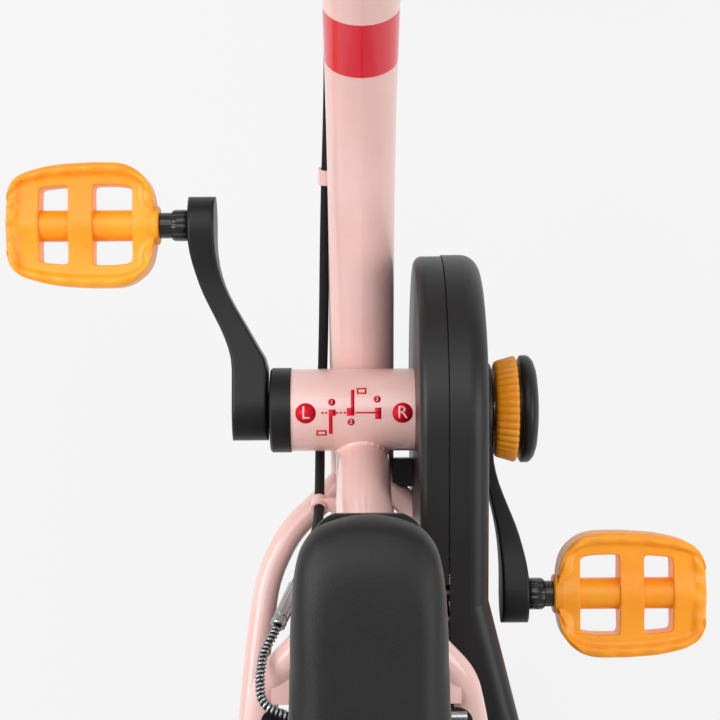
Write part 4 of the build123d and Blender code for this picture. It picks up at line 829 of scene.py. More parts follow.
@dataclass
class Crank:
    """A crank arm, drawn from its hub to its pedal boss as rounded box sections."""

    side: int
    hub_in: float
    hub_out: float
    pedal_in: float
    pedal_out: float
    length: float = 89.0
    hub_radius: float = 14.5
    boss_radius: float = 13.7
    rounding: tuple[float, ...] = (0.5, 8, 16, 26, 38, 52, 68)

    def faces(self, x: float) -> tuple[float, float]:
        """The arm's inner and outer distances from the middle plane at a distance along it."""
        rise_in, rise_out = self.pedal_in - self.hub_in, self.pedal_out - self.hub_out
        inner = ((20, 0), (34, 0.27), (60.6, 0.84), (84, 1))
        outer = ((20, 0), (34, 0.15), (60.6, 0.75), (84, 1))
        return self.hub_in + rise_in * through(inner, x), self.hub_out + rise_out * through(outer, x)

    def half_height(self, x: float) -> float:
        """Half the arm's depth, seen from the side."""
        if x < 0:
            return math.sqrt(max(0.01, self.hub_radius**2 - x**2))
        if x > self.length:
            return math.sqrt(max(0.01, self.boss_radius**2 - (x - self.length) ** 2))
        return through(((0, 14.5), (14, 12.4), (42, 9.5), (64, 9.5), (79, 12.2), (89, 13.7)), x)

    def section(self, x: float, angle: float) -> Vector:
        """A point of the arm's skin in the row frame."""
        low, high = self.faces(x)
        across, up = boxy(angle, (high - low) / 2, self.half_height(x), 0.16)
        y = (low + high) / 2 + across
        return BB + Vector((self.side * x, self.side * y, up)) * MM

    def make(self, shop: Workshop, name: str, bosses: Sequence[tuple[float, float, float]]) -> None:
        """Builds the arm and what turns with it on the crank axis.

        Args:
            shop: Where pieces are finished.
            name: The crank's node.
            bosses: (radius, inner distance, outer distance) of each round part.
        """
        bends = [math.radians(a) for a in self.rounding]
        ends = [self.hub_radius * math.cos(math.pi - a) for a in bends]
        tips = [self.length + self.boss_radius * math.cos(a) for a in reversed(bends)]
        stations = ends + [x * 5.0 for x in range(18)] + [self.length] + tips
        shape = bmesh.new()
        drawn(shape, stations, 64, self.section)
        way = Vector((0, self.side, 0))
        for radius, low, high in bosses:
            soft = min(0.8, (high - low) / 3)
            profile = [(low, 0), (low, radius - soft), (low + soft, radius), (high - soft, radius)]
            profile += [(high, radius - soft), (high, 0)]
            turned(shape, profile, BB, way, 64)
        shop.piece(name + "_arm", shape, BLACK_METAL, "crankset", [name], sharp=50)


@dataclass
class Spindles:
    """The pedal spindles: a fluted collar against the crank, a plain neck and the bar inside the pedal."""

    flutes: int = 8

    def wave(self, angle: float) -> float:
        """The collar's flutes."""
        return 1 - 0.07 * max(0.0, math.cos(self.flutes * angle)) ** 3

    def make(self, shop: Workshop) -> None:
        """Builds both spindles."""
        shape = bmesh.new()
        for side, x, face, inner in ((1, 0.012794, 82.7, 98.6), (-1, -0.165206, 78.8, 92.9)):
            centre, way = Vector((x, 0, BB.z)), Vector((0, side, 0))
            gap = inner - face - 2.3
            neck = [(0, 0), (0, 6.2), (gap, 6.2), (gap, 5.0), (gap + 62, 5.0), (gap + 62, 0)]
            turned(shape, [(face + a, r) for a, r in neck], centre, way, 40)
            collar = [(0.02, 0), (0.02, 7.2), (0.6, 7.6), (6.8, 7.6), (8, 6.8), (8, 0)]
            turned(shape, [(face + a, r) for a, r in collar], centre, way, 96, self.wave)
        shop.piece("spindle_pair", shape, BLACK_GLOSS, "crankset", ["pedal_spindles"])


@dataclass
class DrawKnob:
    """The hand screw on the right crank: a fluted orange grip and a domed black cap."""

    flutes: int = 40

    def wave(self, angle: float) -> float:
        """The grip's rounded ribs and narrow grooves."""
        return 1 - 0.045 * (0.5 - 0.5 * math.cos(self.flutes * angle)) ** 3

    def make(self, shop: Workshop) -> None:
        """Builds the grip and the cap."""
        way = Vector((0, -1, 0))
        grip = bmesh.new()
        profile = [(65.5, 9.1), (62.9, 9.1), (62.9, 21.2), (63.5, 22.6), (64.6, 23.3), (68, 24.2)]
        profile += [(71.8, 25.4), (72.9, 25.3), (73.5, 24.2), (73.5, 4.1), (65.5, 4.1), (65.5, 9.1)]
        turned(grip, profile, BB, way, self.flutes * 6, self.wave)
        shop.piece("knob_ribbed_grip", grip, ORANGE, "knob", ["knob_grip"], sharp=55)
        cap = bmesh.new()
        dome = [(73.6, 6.1), (73.6, 22), (75.2, 22), (75.25, 25.0), (75.8, 25.7), (78.4, 25.8)]
        dome += [(79.8, 25.2), (81.4, 23.4), (82.5, 20.4), (83.2, 15.5), (83.4, 8), (83.4, 0)]
        dome += [(78, 0), (78, 6.1), (73.6, 6.1)]
        turned(cap, dome, BB, way, 96)
        shop.piece("knob_domed_cap", cap, BLACK_PLASTIC, "knob", ["knob_cap"], sharp=50)


# ------------------------------------------------------------------ saddle


@dataclass
class SaddleCover:
    """The padded saddle: a square-nosed, crowned form, swelled by cloth pressure."""

    nose_x: float = BB.x - 0.0282
    top_z: float = 0.433
    under_z: float = 0.4072
    voxel: float = 0.0045
    cap: float = 0.003
    slice: float = 7.0
    stretch: float = 1.25
    belt: float = 0.42
    inset: float = 0.8
    stations: tuple[float, ...] = (
        0, 0.7, 2, 4, 7, 12, 18, 28, 42, 56, 70, 86, 104, 122, 140, 156, 170, 184, 196, 206, 213, 218,
        221, 222,
    )  # fmt: skip
    outline: Knots = (
        (0, 12), (0.8, 14.5), (2.7, 18.2), (8, 23), (16, 25.6), (26, 26.8), (38, 27.5), (53, 27.9),
        (68, 28.4), (105, 33), (140, 49), (165, 61.5),
        (190, 67), (208, 60), (216, 46), (221, 26), (222, 16),
    )  # fmt: skip

    def section(self, along: float, angle: float) -> Vector:
        """A point of the cover's skin."""
        half = through(self.outline, along)
        thick = (self.top_z - self.under_z) / MM
        drop = 9.0 * math.exp(-along / 5.0) + 6.0 * math.exp((along - self.stations[-1]) / 7.0)
        c, s = math.cos(angle), math.sin(angle)
        across = (half - self.inset) * math.copysign(abs(c) ** 0.42, c)
        below = thick * self.belt
        if s > 0:
            up = below + (thick - below - drop - 1.0) * s**0.62
        else:
            up = below - below * abs(s) ** 0.45
        return Vector((self.nose_x - along * MM, across * MM, self.under_z + up * MM))

    def swell(self, cover: Object) -> None:
        """Remeshes the form, blows it up a little with cloth pressure and keeps the result."""
        remesh = cover.modifiers.new("skin", "REMESH")
        remesh.mode, remesh.voxel_size = "VOXEL", self.voxel
        self.keep(cover)
        start = [v.co.copy() for v in cover.data.vertices]
        cloth = cover.modifiers.new("cloth", "CLOTH")
        cloth.settings.use_pressure = True
        cloth.settings.uniform_pressure_force = 4.0
        cloth.settings.effector_weights.gravity = 0.0
        cloth.settings.tension_stiffness = cloth.settings.compression_stiffness = 40.0
        scene = bpy.context.scene
        for step in range(1, 21):
            scene.frame_set(step)
        self.keep(cover)
        scene.frame_set(1)
        for vert, before in zip(cover.data.vertices, start):
            move = vert.co - before
            if move.length > self.cap:
                vert.co = before + move.normalized() * self.cap
            vert.co.z = min(max(vert.co.z, self.under_z), self.top_z)

    @staticmethod
    def box(cover: Object) -> tuple[Vector, Vector]:
        """The mesh's lowest and highest corners."""
        spots = [v.co for v in cover.data.vertices]
        return Vector(map(min, zip(*spots))), Vector(map(max, zip(*spots)))

    def refit(self, cover: Object, low: Vector, high: Vector) -> None:
        """Stretches the swelled and eased cover back to the length, height and outline of its form."""
        now_low, now_high = self.box(cover)
        widest: dict[int, float] = {}
        for vert in cover.data.vertices:
            for axis in (0, 2):
                share = (vert.co[axis] - now_low[axis]) / (now_high[axis] - now_low[axis])
                vert.co[axis] = low[axis] + share * (high[axis] - low[axis])
            slot = int((self.nose_x - vert.co.x) / MM / self.slice)
            widest[slot] = max(widest.get(slot, 0.0), abs(vert.co.y) / MM)
        knots = [((slot + 0.5) * self.slice, half) for slot, half in sorted(widest.items())]
        for vert in cover.data.vertices:
            along = (self.nose_x - vert.co.x) / MM
            wanted = through(self.outline, along) - self.inset
            vert.co.y *= min(self.stretch, wanted / through(knots, along))

    @staticmethod
    def keep(cover: Object) -> None:
        """Puts the modifiers' result into the mesh and removes them."""
        bpy.context.view_layer.update()
        result = bpy.data.meshes.new_from_object(cover.evaluated_get(bpy.context.evaluated_depsgraph_get()))
        cover.modifiers.clear()
        old, cover.data = cover.data, result
        bpy.data.meshes.remove(old)

    def make(self, shop: Workshop) -> None:
        """Builds the cover."""
        shape = bmesh.new()
        drawn(shape, self.stations, 48, self.section)
        cover = shop.piece("saddle_cover", shape, SADDLE, "", ["saddle_pad"])
        low, high = self.box(cover)
        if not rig.quick():
            self.swell(cover)
        smooth = cover.modifiers.new("ease", "SMOOTH")
        smooth.factor, smooth.iterations = 0.5, 4
        self.keep(cover)
        self.refit(cover, low, high)
        cover.data.shade_smooth()
        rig.ride(cover, "saddle")
        shop.rounded(cover, 1)
        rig.padded(cover, fill=0.8)


# ------------------------------------------------------------------ wheels


@dataclass
class Wheel:
    """A tyre with a block tread, a valve, and the nipples at the rim."""

    name: str
    centre: Vector
    steps: int = 144
    spokes: int = 20
    cross: float = 38.0
    rim_bed: float = 0.1148
    valve_at: float = 261.0
    bore: float = 160.0
    lining: float = 169.5
    tread_depth: float = 2.2
    treads: Sequence[tuple[float, float, float]] = ((0, 4.3, 171), (4.3, 9.7, 169.5), (14.4, 18.95, 164.5))
    profile: Knots = (
        (9.6, 127.2), (12.8, 127.2), (12.9, 130), (13.4, 133.4), (17.6, 137.4), (20.6, 140.8),
        (20.9, 141.6), (22.2, 142.6), (23.2, 148), (23.2, 152.6), (22.0, 158), (21.6, 158.2), (18.9, 163.6),
        (14.4, 168.2), (9.6, 170.8), (4.2, 171.8),
    )  # fmt: skip

    def tyre(self, shop: Workshop) -> None:
        """Spins the tyre and raises its tread blocks."""
        shape = bmesh.new()
        outer = list(self.profile) + [(-y, r) for y, r in reversed(self.profile)]
        wall = [(-9.4, 127.2), (-9.4, 134.8), (-18.6, 144), (-20.6, 152), (-15, 163), (0, 168.6)]
        inner = wall + [(-y, r) for y, r in reversed(wall[:-1])]
        section = outer + inner + [outer[0]]
        turned(shape, section, self.centre, Vector((0, 1, 0)), self.steps)
        rows = {face: self.row_of(face) for face in shape.faces}
        for row in range(len(self.treads)):
            faces = [face for face, its in rows.items() if its == row]
            grown = bmesh.ops.extrude_face_region(shape, geom=faces)["geom"]
            verts = [g for g in grown if isinstance(g, bmesh.types.BMVert)]
            for vert in verts:
                out = vert.co - self.centre
                out.y *= 0.5
                vert.co += out.normalized() * self.tread_depth * MM
            bmesh.ops.delete(shape, geom=faces, context="FACES_ONLY")
        replaced = [self.name + "_tyre"]
        tyre = shop.piece(self.name + "_treaded_tyre", shape, TYRE, self.name, replaced, sharp=40)
        shop.softened(tyre, 0.0003)

    def row_of(self, face: bmesh.types.BMFace) -> int | None:
        """Which row of tread blocks a face of the tyre belongs to, if any.

        Args:
            face: A face of the plain tyre.

        Returns:
            0 for the crown's blocks, 1 for the ones beside them, 2 for the shoulder's, or None.
        """
        place = face.calc_center_median() - self.centre
        reach, across = math.hypot(place.x, place.z) / MM, abs(place.y) / MM
        inwards = face.normal.dot(Vector((place.x, 0, place.z))) <= 0
        if reach < self.bore or inwards and reach < self.lining and across < 9:
            return None
        turn = int((math.atan2(place.z, place.x) / math.tau + 1) * self.steps + 0.001) % self.steps
        blocks = (turn % 4 < 3, (turn + 2) % 4 < 3, turn % 2 == 1)
        for row, (low, high, least) in enumerate(self.treads):
            if low <= across < high and reach > least and blocks[row]:
                return row
        return None

    def fittings(self, shop: Workshop) -> None:
        """Adds the valve and the spoke nipples."""
        nipples = bmesh.new()
        for index in range(self.spokes):
            side = 1 if index % 2 else -1
            lean = 1 if (index // 2) % 2 else -1
            turn = math.tau * index / self.spokes + lean * math.radians(self.cross)
            way = Vector((math.cos(turn), 0, math.sin(turn)))
            foot = self.centre + way * self.rim_bed + Vector((0, side * 0.002, 0))
            rod(nipples, foot, foot - way * 0.008 + Vector((0, side * 0.0009, 0)), 0.0021, 8, 0.0015)
        shop.piece(self.name + "_nipples", nipples, STEEL, self.name)
        turn = math.radians(self.valve_at)
        way = Vector((math.cos(turn), 0, math.sin(turn)))
        stem = [(0, 0), (0, 3.9), (1.4, 4.1), (3, 3.4), (14, 3.1), (14.2, 3.9), (26, 3.7), (27, 3.0)]
        stem += [(27, 0)]
        valve = bmesh.new()
        turned(valve, stem, self.centre + way * (self.rim_bed + 0.0001), -way, 24)
        shop.piece(self.name + "_valve", valve, RUBBER, self.name)

    def make(self, shop: Workshop) -> None:
        """Builds the wheel's detailed pieces."""
        self.tyre(shop)
        self.fittings(shop)


# ------------------------------------------------------------------ bars, cables and brakes


@dataclass
class Grip:
    """A ribbed rubber grip with a flange and a rounded end."""

    side: int
    end: Vector = Vector((0.127357, 0.238, 0.597731))
    way: Vector = Vector((-0.254337, 0.964715, -0.068107))
    length: float = 92.0
    ribs: int = 15

    def make(self, shop: Workshop, name: str, replaces: Sequence[str]) -> None:
        """Builds the grip."""
        flange = ((0, 11.2), (0, 17.6), (1, 18.5), (3, 18.5), (4.4, 17.2), (5, 14.6))
        profile = [(a - self.length, r) for a, r in flange]
        pitch = (self.length - 12) / self.ribs
        for rib in range(self.ribs):
            low = -self.length + 7 + rib * pitch
            profile += [(low, 13.8), (low + 0.7, 15), (low + pitch - 1.9, 15), (low + pitch - 1.2, 13.8)]
        profile += [(0.4, 14.8), (1, 19.2), (2, 20), (5, 20), (6.6, 19), (7, 17), (7, 0)]
        profile += [(0.1, 0), (0.1, 11.2), (-self.length, 11.2)]
        flip = Vector((1, self.side, 1))
        shape = bmesh.new()
        turned(shape, profile, self.end * flip, self.way * flip, 48)
        shop.piece(name, shape, RUBBER, "steering", replaces)


def steerer(u: float, v: float, y: float = 0.0) -> Vector:
    """A point by its distances up and ahead of the steering axis, in millimetres."""
    return AXIS_FOOT + HEAD_UP * (u * MM) + HEAD_FORWARD * (v * MM) + Vector((0, y * MM, 0))


@dataclass
class Cables:
    """The brake cables in their black housings, with the wound steel noodle at the rear brake."""

    run: Sequence[tuple[float, float, float]] = (
        (0.186665, 0.018273, 0.35427), (0.165352, 0.015978, 0.312674), (0.13857, 0.014334, 0.267828),
        (0.104714, 0.014214, 0.226701), (0.062811, 0.015485, 0.192332), (0.019536, 0.017555, 0.170678),
        (-0.049206, 0.019, 0.15), (-0.084206, 0.0208, 0.148), (-0.112206, 0.021, 0.1605),
        (-0.128206, 0.021, 0.19), (-0.135206, 0.023, 0.224), (-0.142206, 0.026, 0.255),
        (-0.146706, 0.029, 0.277),
    )  # fmt: skip
    ferrule_end: Vector = Vector((-0.1617, 0.0365, 0.293))
    noodle: Sequence[tuple[float, float, float]] = (
        (-0.1619, 0.036597, 0.293207), (-0.165589, 0.038441, 0.297142), (-0.170706, 0.0418, 0.299),
        (-0.182206, 0.0434, 0.3065), (-0.191706, 0.0415, 0.313), (-0.194918, 0.029, 0.314472),
    )  # fmt: skip
    front: Sequence[tuple[float, float, float]] = (
        (0.175895, 0.120561, 0.605945), (0.184034, 0.08969, 0.608125), (0.205759, 0.044, 0.599977),
        (0.226412, 0.016, 0.562917), (0.245481, 0.009, 0.518822), (0.258665, 0.022, 0.478895),
        (0.264532, 0.038, 0.44687), (0.26805, 0.041, 0.363806),
    )  # fmt: skip
    loop: Sequence[tuple[float, float, float]] = (
        (0.175895, -0.120561, 0.605945), (0.183525, -0.091619, 0.607989), (0.219847, -0.034, 0.624666),
        (0.243235, 0.004, 0.597225), (0.244349, 0.036, 0.544095), (0.217738, 0.04, 0.473896),
        (0.19473, 0.032, 0.422218), (0.202151, 0.022941, 0.384493), (0.186802, 0.018288, 0.354537),
    )  # fmt: skip
    housing: float = 0.0024
    coil: float = 0.00215
    wire: float = 0.0008

    @staticmethod
    def route(points: Sequence[tuple[float, float, float]]) -> list[Vector]:
        """A route's smooth line."""
        return line_of([Vector(p) for p in points])

    def rear_run(self, shop: Workshop) -> None:
        """The housing beside the main tube and its steel ferrule."""
        shape = bmesh.new()
        line = self.route(self.run)
        hose(shape, line, self.housing, 16)
        shop.piece("rear_cable_housing", shape, RUBBER, "frame", ["rear_brake_cable"])
        ferrule = bmesh.new()
        way = self.ferrule_end - line[-1]
        length = way.length / MM
        profile = [(0.5, 0), (0.5, 2.9), (1.1, 3.2), (length - 4.6, 3.2), (length - 4.4, 2.6)]
        profile += [(length - 3.2, 2.6), (length - 3.0, 3.2), (length - 0.5, 3.2), (length, 2.8)]
        profile += [(length, 0)]
        turned(ferrule, profile, line[-1], way.normalized(), 32)
        shop.piece("rear_cable_ferrule", ferrule, STEEL, "frame")

    def rear_noodle(self, shop: Workshop) -> None:
        """The wound steel guide: a dark core with wire wound round it."""
        line = self.route(self.noodle)
        core = bmesh.new()
        hose(core, line, self.coil - self.wire, 12)
        made = shop.piece("rear_noodle_core", core, RUBBER, "", ["rear_brake_noodle"])
        bend = (Vector(self.noodle[0]), Vector(self.noodle[-1]))
        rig.blend(made, "frame", "rear_brake_left", *bend)
        total = sum((b - a).length for a, b in zip(line, line[1:]))
        turns = int(total / 0.00175)
        side = (line[1] - line[0]).orthogonal().normalized()
        winding: list[Vector] = []
        gone, per_turn = 0.0, 10
        for a, b in zip(line, line[1:]):
            way = (b - a).normalized()
            side = (side - way * side.dot(way)).normalized()
            other, span = way.cross(side), (b - a).length
            first = math.ceil(gone / total * turns * per_turn)
            last = math.ceil((gone + span) / total * turns * per_turn)
            for index in range(first, last):
                share = (index / (turns * per_turn) * total - gone) / span
                angle = math.tau * index / per_turn
                arm = side * math.cos(angle) + other * math.sin(angle)
                winding.append(a.lerp(b, share) + arm * (self.coil - self.wire * 0.75))
            gone += span
        coil = bmesh.new()
        hose(coil, winding, self.wire * 0.75, 7)
        made = shop.piece("rear_noodle_winding", coil, STEEL, "")
        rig.blend(made, "frame", "rear_brake_left", *bend)

    def link(self, shop: Workshop, name: str, at: Vector, reach: float) -> None:
        """The pulling wire on the left arm's top, with its ribbed boot, and the right arm's hollow anchor.

        Args:
            shop: Where pieces are finished.
            name: The wheel's name.
            at: The wire's place beside the left arm.
            reach: How far the wire ends lie from the middle plane.
        """
        wire = bmesh.new()
        rod(wire, Vector((at.x, 0.012 - reach, at.z)), at, self.wire, 12)
        shop.piece(name + "_link_wire", wire, STEEL, name + "_brake_left")
        anchor = bmesh.new()
        tube = [(-4, 1.0), (-4, 2.1), (16, 2.1), (16, 1.0), (-4, 1.0)]
        foot = Vector((at.x, -reach, at.z))
        turned(anchor, tube, foot, Vector((0, 1, 0)), 20)
        shop.piece(name + "_link_anchor", anchor, STEEL, name + "_brake_right")
        low, high = -2.0, at.y / MM - 2
        ribs = 6
        profile = [(low, 0.9)]
        for rib in range(ribs):
            foot = low + (high - low) * rib / ribs
            profile += [(foot + 0.1, 2.5), (foot + (high - low) / ribs * 0.6, 3.4)]
        profile += [(high, 2.6), (high, 0.9), (low, 0.9)]
        boot = bmesh.new()
        turned(boot, profile, Vector((at.x, 0, at.z)), Vector((0, 1, 0)), 24)
        shop.piece(name + "_link_boot", boot, RUBBER, name + "_brake_left")

    def front_run(self, shop: Workshop) -> None:
        """The front brake's housing from its lever to the left arm."""
        shape = bmesh.new()
        hose(shape, self.route(self.front), self.housing, 16)
        made = shop.piece("front_cable_housing", shape, RUBBER, "", ["front_brake_cable"])
        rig.blend(made, "steering", "front_brake_left", Vector(self.front[-2]), Vector(self.front[-1]))

    def steering_loop(self, shop: Workshop) -> None:
        """The rear brake's housing from the right lever to the frame, bending as the bars turn."""
        shape = bmesh.new()
        hose(shape, self.route(self.loop), self.housing, 16)
        made = shop.piece("rear_cable_loop", shape, RUBBER, "", ["rear_brake_cable_loop"])
        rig.blend(made, "frame", "steering", Vector(self.loop[-2]), Vector(self.loop[4]))

    def make(self, shop: Workshop) -> None:
        """Builds every cable."""
        self.rear_run(shop)
        self.rear_noodle(shop)
        self.link(shop, "rear", Vector(self.noodle[-1]), 0.036)
        self.link(shop, "front", Vector((0.261581, 0.029, 0.353765)), 0.036)
        self.front_run(shop)
        self.steering_loop(shop)


# ------------------------------------------------------------------ frame details


@dataclass
class ShellPrint:
    """The red pictogram on the bottom bracket shell: how crank, axle and knob go together."""

    radius: float = 19.75
    line: float = 0.8
    strip: float = 0.7
    reach: int = 22

    def wrap(self, shape: Shape, lift: float) -> None:
        """Cuts a flat print into strips and bends it round the shell.

        Args:
            shape: The print, drawn as (y, x) from the shell's top line in millimetres.
            lift: How far it lies off the shell, in millimetres.
        """
        for strip in range(-self.reach, self.reach + 1):
            bmesh.ops.bisect_plane(
                shape, geom=shape.verts[:] + shape.edges[:] + shape.faces[:],
                plane_co=(0, strip * self.strip, 0), plane_no=(0, 1, 0),
            )  # fmt: skip
        for vert in shape.verts:
            across, along = vert.co.x, vert.co.y
            angle = along / self.radius
            reach = (self.radius + lift + vert.co.z) * MM
            vert.co = BB + Vector((reach * math.sin(angle), across * MM, reach * math.cos(angle)))

    @staticmethod
    def patch(shape: Shape, low: tuple[float, float], high: tuple[float, float]) -> None:
        """A flat rectangle."""
        size = Matrix.Diagonal((high[0] - low[0], high[1] - low[1], 1.0, 1.0))
        middle = Matrix.Translation(((low[0] + high[0]) / 2, (low[1] + high[1]) / 2, 0))
        bmesh.ops.create_grid(shape, x_segments=1, y_segments=1, size=0.5, matrix=middle @ size)

    @staticmethod
    def spot(shape: Shape, across: float, along: float, radius: float) -> None:
        """A flat disc."""
        verts = bmesh.ops.create_circle(shape, cap_ends=True, segments=40, radius=radius)["verts"]
        bmesh.ops.translate(shape, verts=verts, vec=(across, along, 0))

    def frame_of(self, shape: Shape, low: tuple[float, float], high: tuple[float, float]) -> None:
        """A rectangle's outline."""
        w = self.line
        (x0, y0), (x1, y1) = low, high
        for end in (y0, y1 - w):
            self.patch(shape, (x0, end), (x1, end + w))
        for side in (x0, x1 - w):
            self.patch(shape, (side, y0 + w), (side + w, y1 - w))

    def letters(self, shape: Shape, text: str, across: float, along: float, size: float) -> None:
        """A letter or digit as a flat mesh, its top towards the front."""
        curve = bpy.data.curves.new("sign", "FONT")
        curve.body, curve.size = text, size
        curve.align_x, curve.align_y = "CENTER", "CENTER"
        curve.resolution_u = 4
        holder = bpy.data.objects.new("sign", curve)
        mesh = bpy.data.meshes.new_from_object(holder)
        before = set(shape.verts)
        shape.from_mesh(mesh)
        fresh = [v for v in shape.verts if v not in before]
        bmesh.ops.transform(shape, matrix=Matrix.Scale(-1, 4, (1, 0, 0)), verts=fresh)
        bmesh.ops.translate(shape, verts=fresh, vec=(across, along, 0))
        bpy.data.objects.remove(holder)
        bpy.data.curves.remove(curve)
        bpy.data.meshes.remove(mesh)

    def make(self, shop: Workshop) -> None:
        """Builds the red print and the pink letters on it."""
        red, pink = bmesh.new(), bmesh.new()
        for text, across in (("L", 26.8), ("R", -18.7)):
            self.spot(red, across, -1.0, 4.8)
            self.letters(pink, text, across, -1.0, 8.4)
        self.patch(red, (12.7, -2.2), (16.0, 0.7))
        self.patch(red, (14.2, -11.4), (16.0, -2.2))
        self.frame_of(red, (17.0, -12.4), (21.9, -9.3))
        self.patch(red, (3.9, -2.2), (7.5, 1.5))
        self.patch(red, (3.9, 1.5), (5.5, 10.3))
        self.frame_of(red, (-1.8, 8.1), (2.8, 11.3))
        self.patch(red, (-5.8, -1.2), (3.5, -0.4))
        self.patch(red, (-8.7, -3.9), (-5.8, 1.5))
        for across in (16.6, 18.4, 7.9, 9.7, 11.5):
            self.patch(red, (across, -1.2), (across + 1.1, -0.4))
        for text, across, along in (("1", 14.5, 4.2), ("2", 5.5, -5.2), ("3", -6.8, 5.5)):
            self.spot(red, across, along, 1.7)
            self.letters(pink, text, across, along, 3.0)
        layers = ((red, 0.1, RED_PRINT, "shell_print"), (pink, 0.16, PINK_PRINT, "shell_signs"))
        for shape, lift, finish, name in layers:
            self.wrap(shape, lift)
            made = shop.piece(name, shape, finish, "frame")
            wall = made.modifiers.new("film", "SOLIDIFY")
            wall.thickness, wall.offset = 0.00004, 0.0


@dataclass
class WeldBeads:
    """The smooth beads where the tubes meet."""

    ripple: float = 0.12
    size: float = 0.0018
    farthest: float = 0.1
    touch: float = 0.00002
    rays: int = 96

    def crossing(self, spot: Vector, way: Vector, other: Gap) -> Vector | None:
        """Where a line from a spot first meets the other surface, if it does so before long."""
        gone = 0.0
        while other(spot) > self.touch:
            stride = other(spot) * 0.7
            gone += stride
            if gone > self.farthest:
                return None
            spot = spot + way * stride
        return spot

    def bead(self, shape: Shape, start: Vector, way: Vector, tube: float, other: Gap) -> None:
        """One bead along the line where a tube runs into another surface.

        Args:
            shape: The mesh that takes it.
            start: A point on the tube's axis outside the other surface.
            way: The tube's direction into the surface.
            tube: The tube's radius.
            other: How far a point lies outside the other surface.
        """
        side = way.orthogonal().normalized()
        over = way.cross(side)
        found = []
        for index in range(self.rays):
            angle = math.tau * index / self.rays
            spot = start + (side * math.cos(angle) + over * math.sin(angle)) * tube
            found.append(self.crossing(spot, way, other))
        closed = all(found)
        first = 0 if closed else next(i for i in range(self.rays) if found[i] and not found[i - 1])
        run = [spot for spot in found[first:] + found[:first] if spot]
        run = run + run[:1] if closed else run
        middle = sum(run, Vector()) / len(run)

        def section(station: float, angle: float) -> Vector:
            """A point of the bead's skin."""
            index = int(station)
            ahead = (run[min(index + 1, len(run) - 1)] - run[max(index - 1, 0)]).normalized()
            if closed and index in (0, len(run) - 1):
                ahead = (run[1] - run[-2]).normalized()
            out = (run[index] - middle).normalized()
            out = (out - ahead * out.dot(ahead)).normalized()
            size = self.size * (1 + self.ripple * math.sin(station * 1.9))
            return run[index] + (out * math.cos(angle) + ahead.cross(out) * math.sin(angle)) * size

        drawn(shape, range(len(run)), 10, section)

    def make(self, shop: Workshop) -> None:
        """Builds the beads round the shell and the head tube."""
        shape = bmesh.new()

        def off_shell(spot: Vector) -> float:
            """Distance outside the bottom bracket shell."""
            return math.hypot(spot.x - BB.x, spot.z - BB.z) - 0.01975

        def off_head(spot: Vector) -> float:
            """Distance outside the head tube."""
            arm = spot - AXIS_FOOT
            return (arm - HEAD_UP * arm.dot(HEAD_UP)).length - 0.018

        seat_start = BB + Vector((-25 - 70 / math.tan(math.radians(72)), 0, 70)) * MM
        self.bead(shape, seat_start, -SEAT_UP, 0.0127, off_shell)
        self.bead(shape, BB + Vector((0.070, 0, -0.0071)), Vector((-0.925, 0, -0.38)), 0.0159, off_shell)
        shop.piece("shell_weld_beads", shape, PINK_PAINT, "frame", sharp=80)
        head = bmesh.new()
        self.bead(head, BB + Vector((0.226, 0, 0.137)), Vector((0.543, 0, 0.84)), 0.0175, off_head)
        shop.piece("head_weld_bead", head, PINK_PAINT, "frame", sharp=80)


@dataclass
class Bolts:
    """Socket heads on the stem."""

    def socket_head(self, shape: Shape, foot: Vector, way: Vector, radius: float, tall: float) -> None:
        """A round head with a six-sided socket."""
        turn = way.to_track_quat("Z", "Y").to_matrix().to_4x4()
        profile = [(0, 0), (0, radius), (tall * 0.8, radius), (tall, radius * 0.86), (tall, radius * 0.55)]
        profile += [(tall * 0.35, radius * 0.5), (tall * 0.35, 0)]
        turned(shape, profile, foot, turn.to_3x3() @ Vector((0, 0, 1)), 24)

    def make(self, shop: Workshop) -> None:
        """Builds the heads."""
        stem = bmesh.new()
        for u in (342, 358):
            self.socket_head(stem, steerer(u, -17.2), -HEAD_FORWARD, 3.4, 3.4)
        shop.piece("stem_bolts", stem, STEEL, "steering")


# ------------------------------------------------------------------ studio


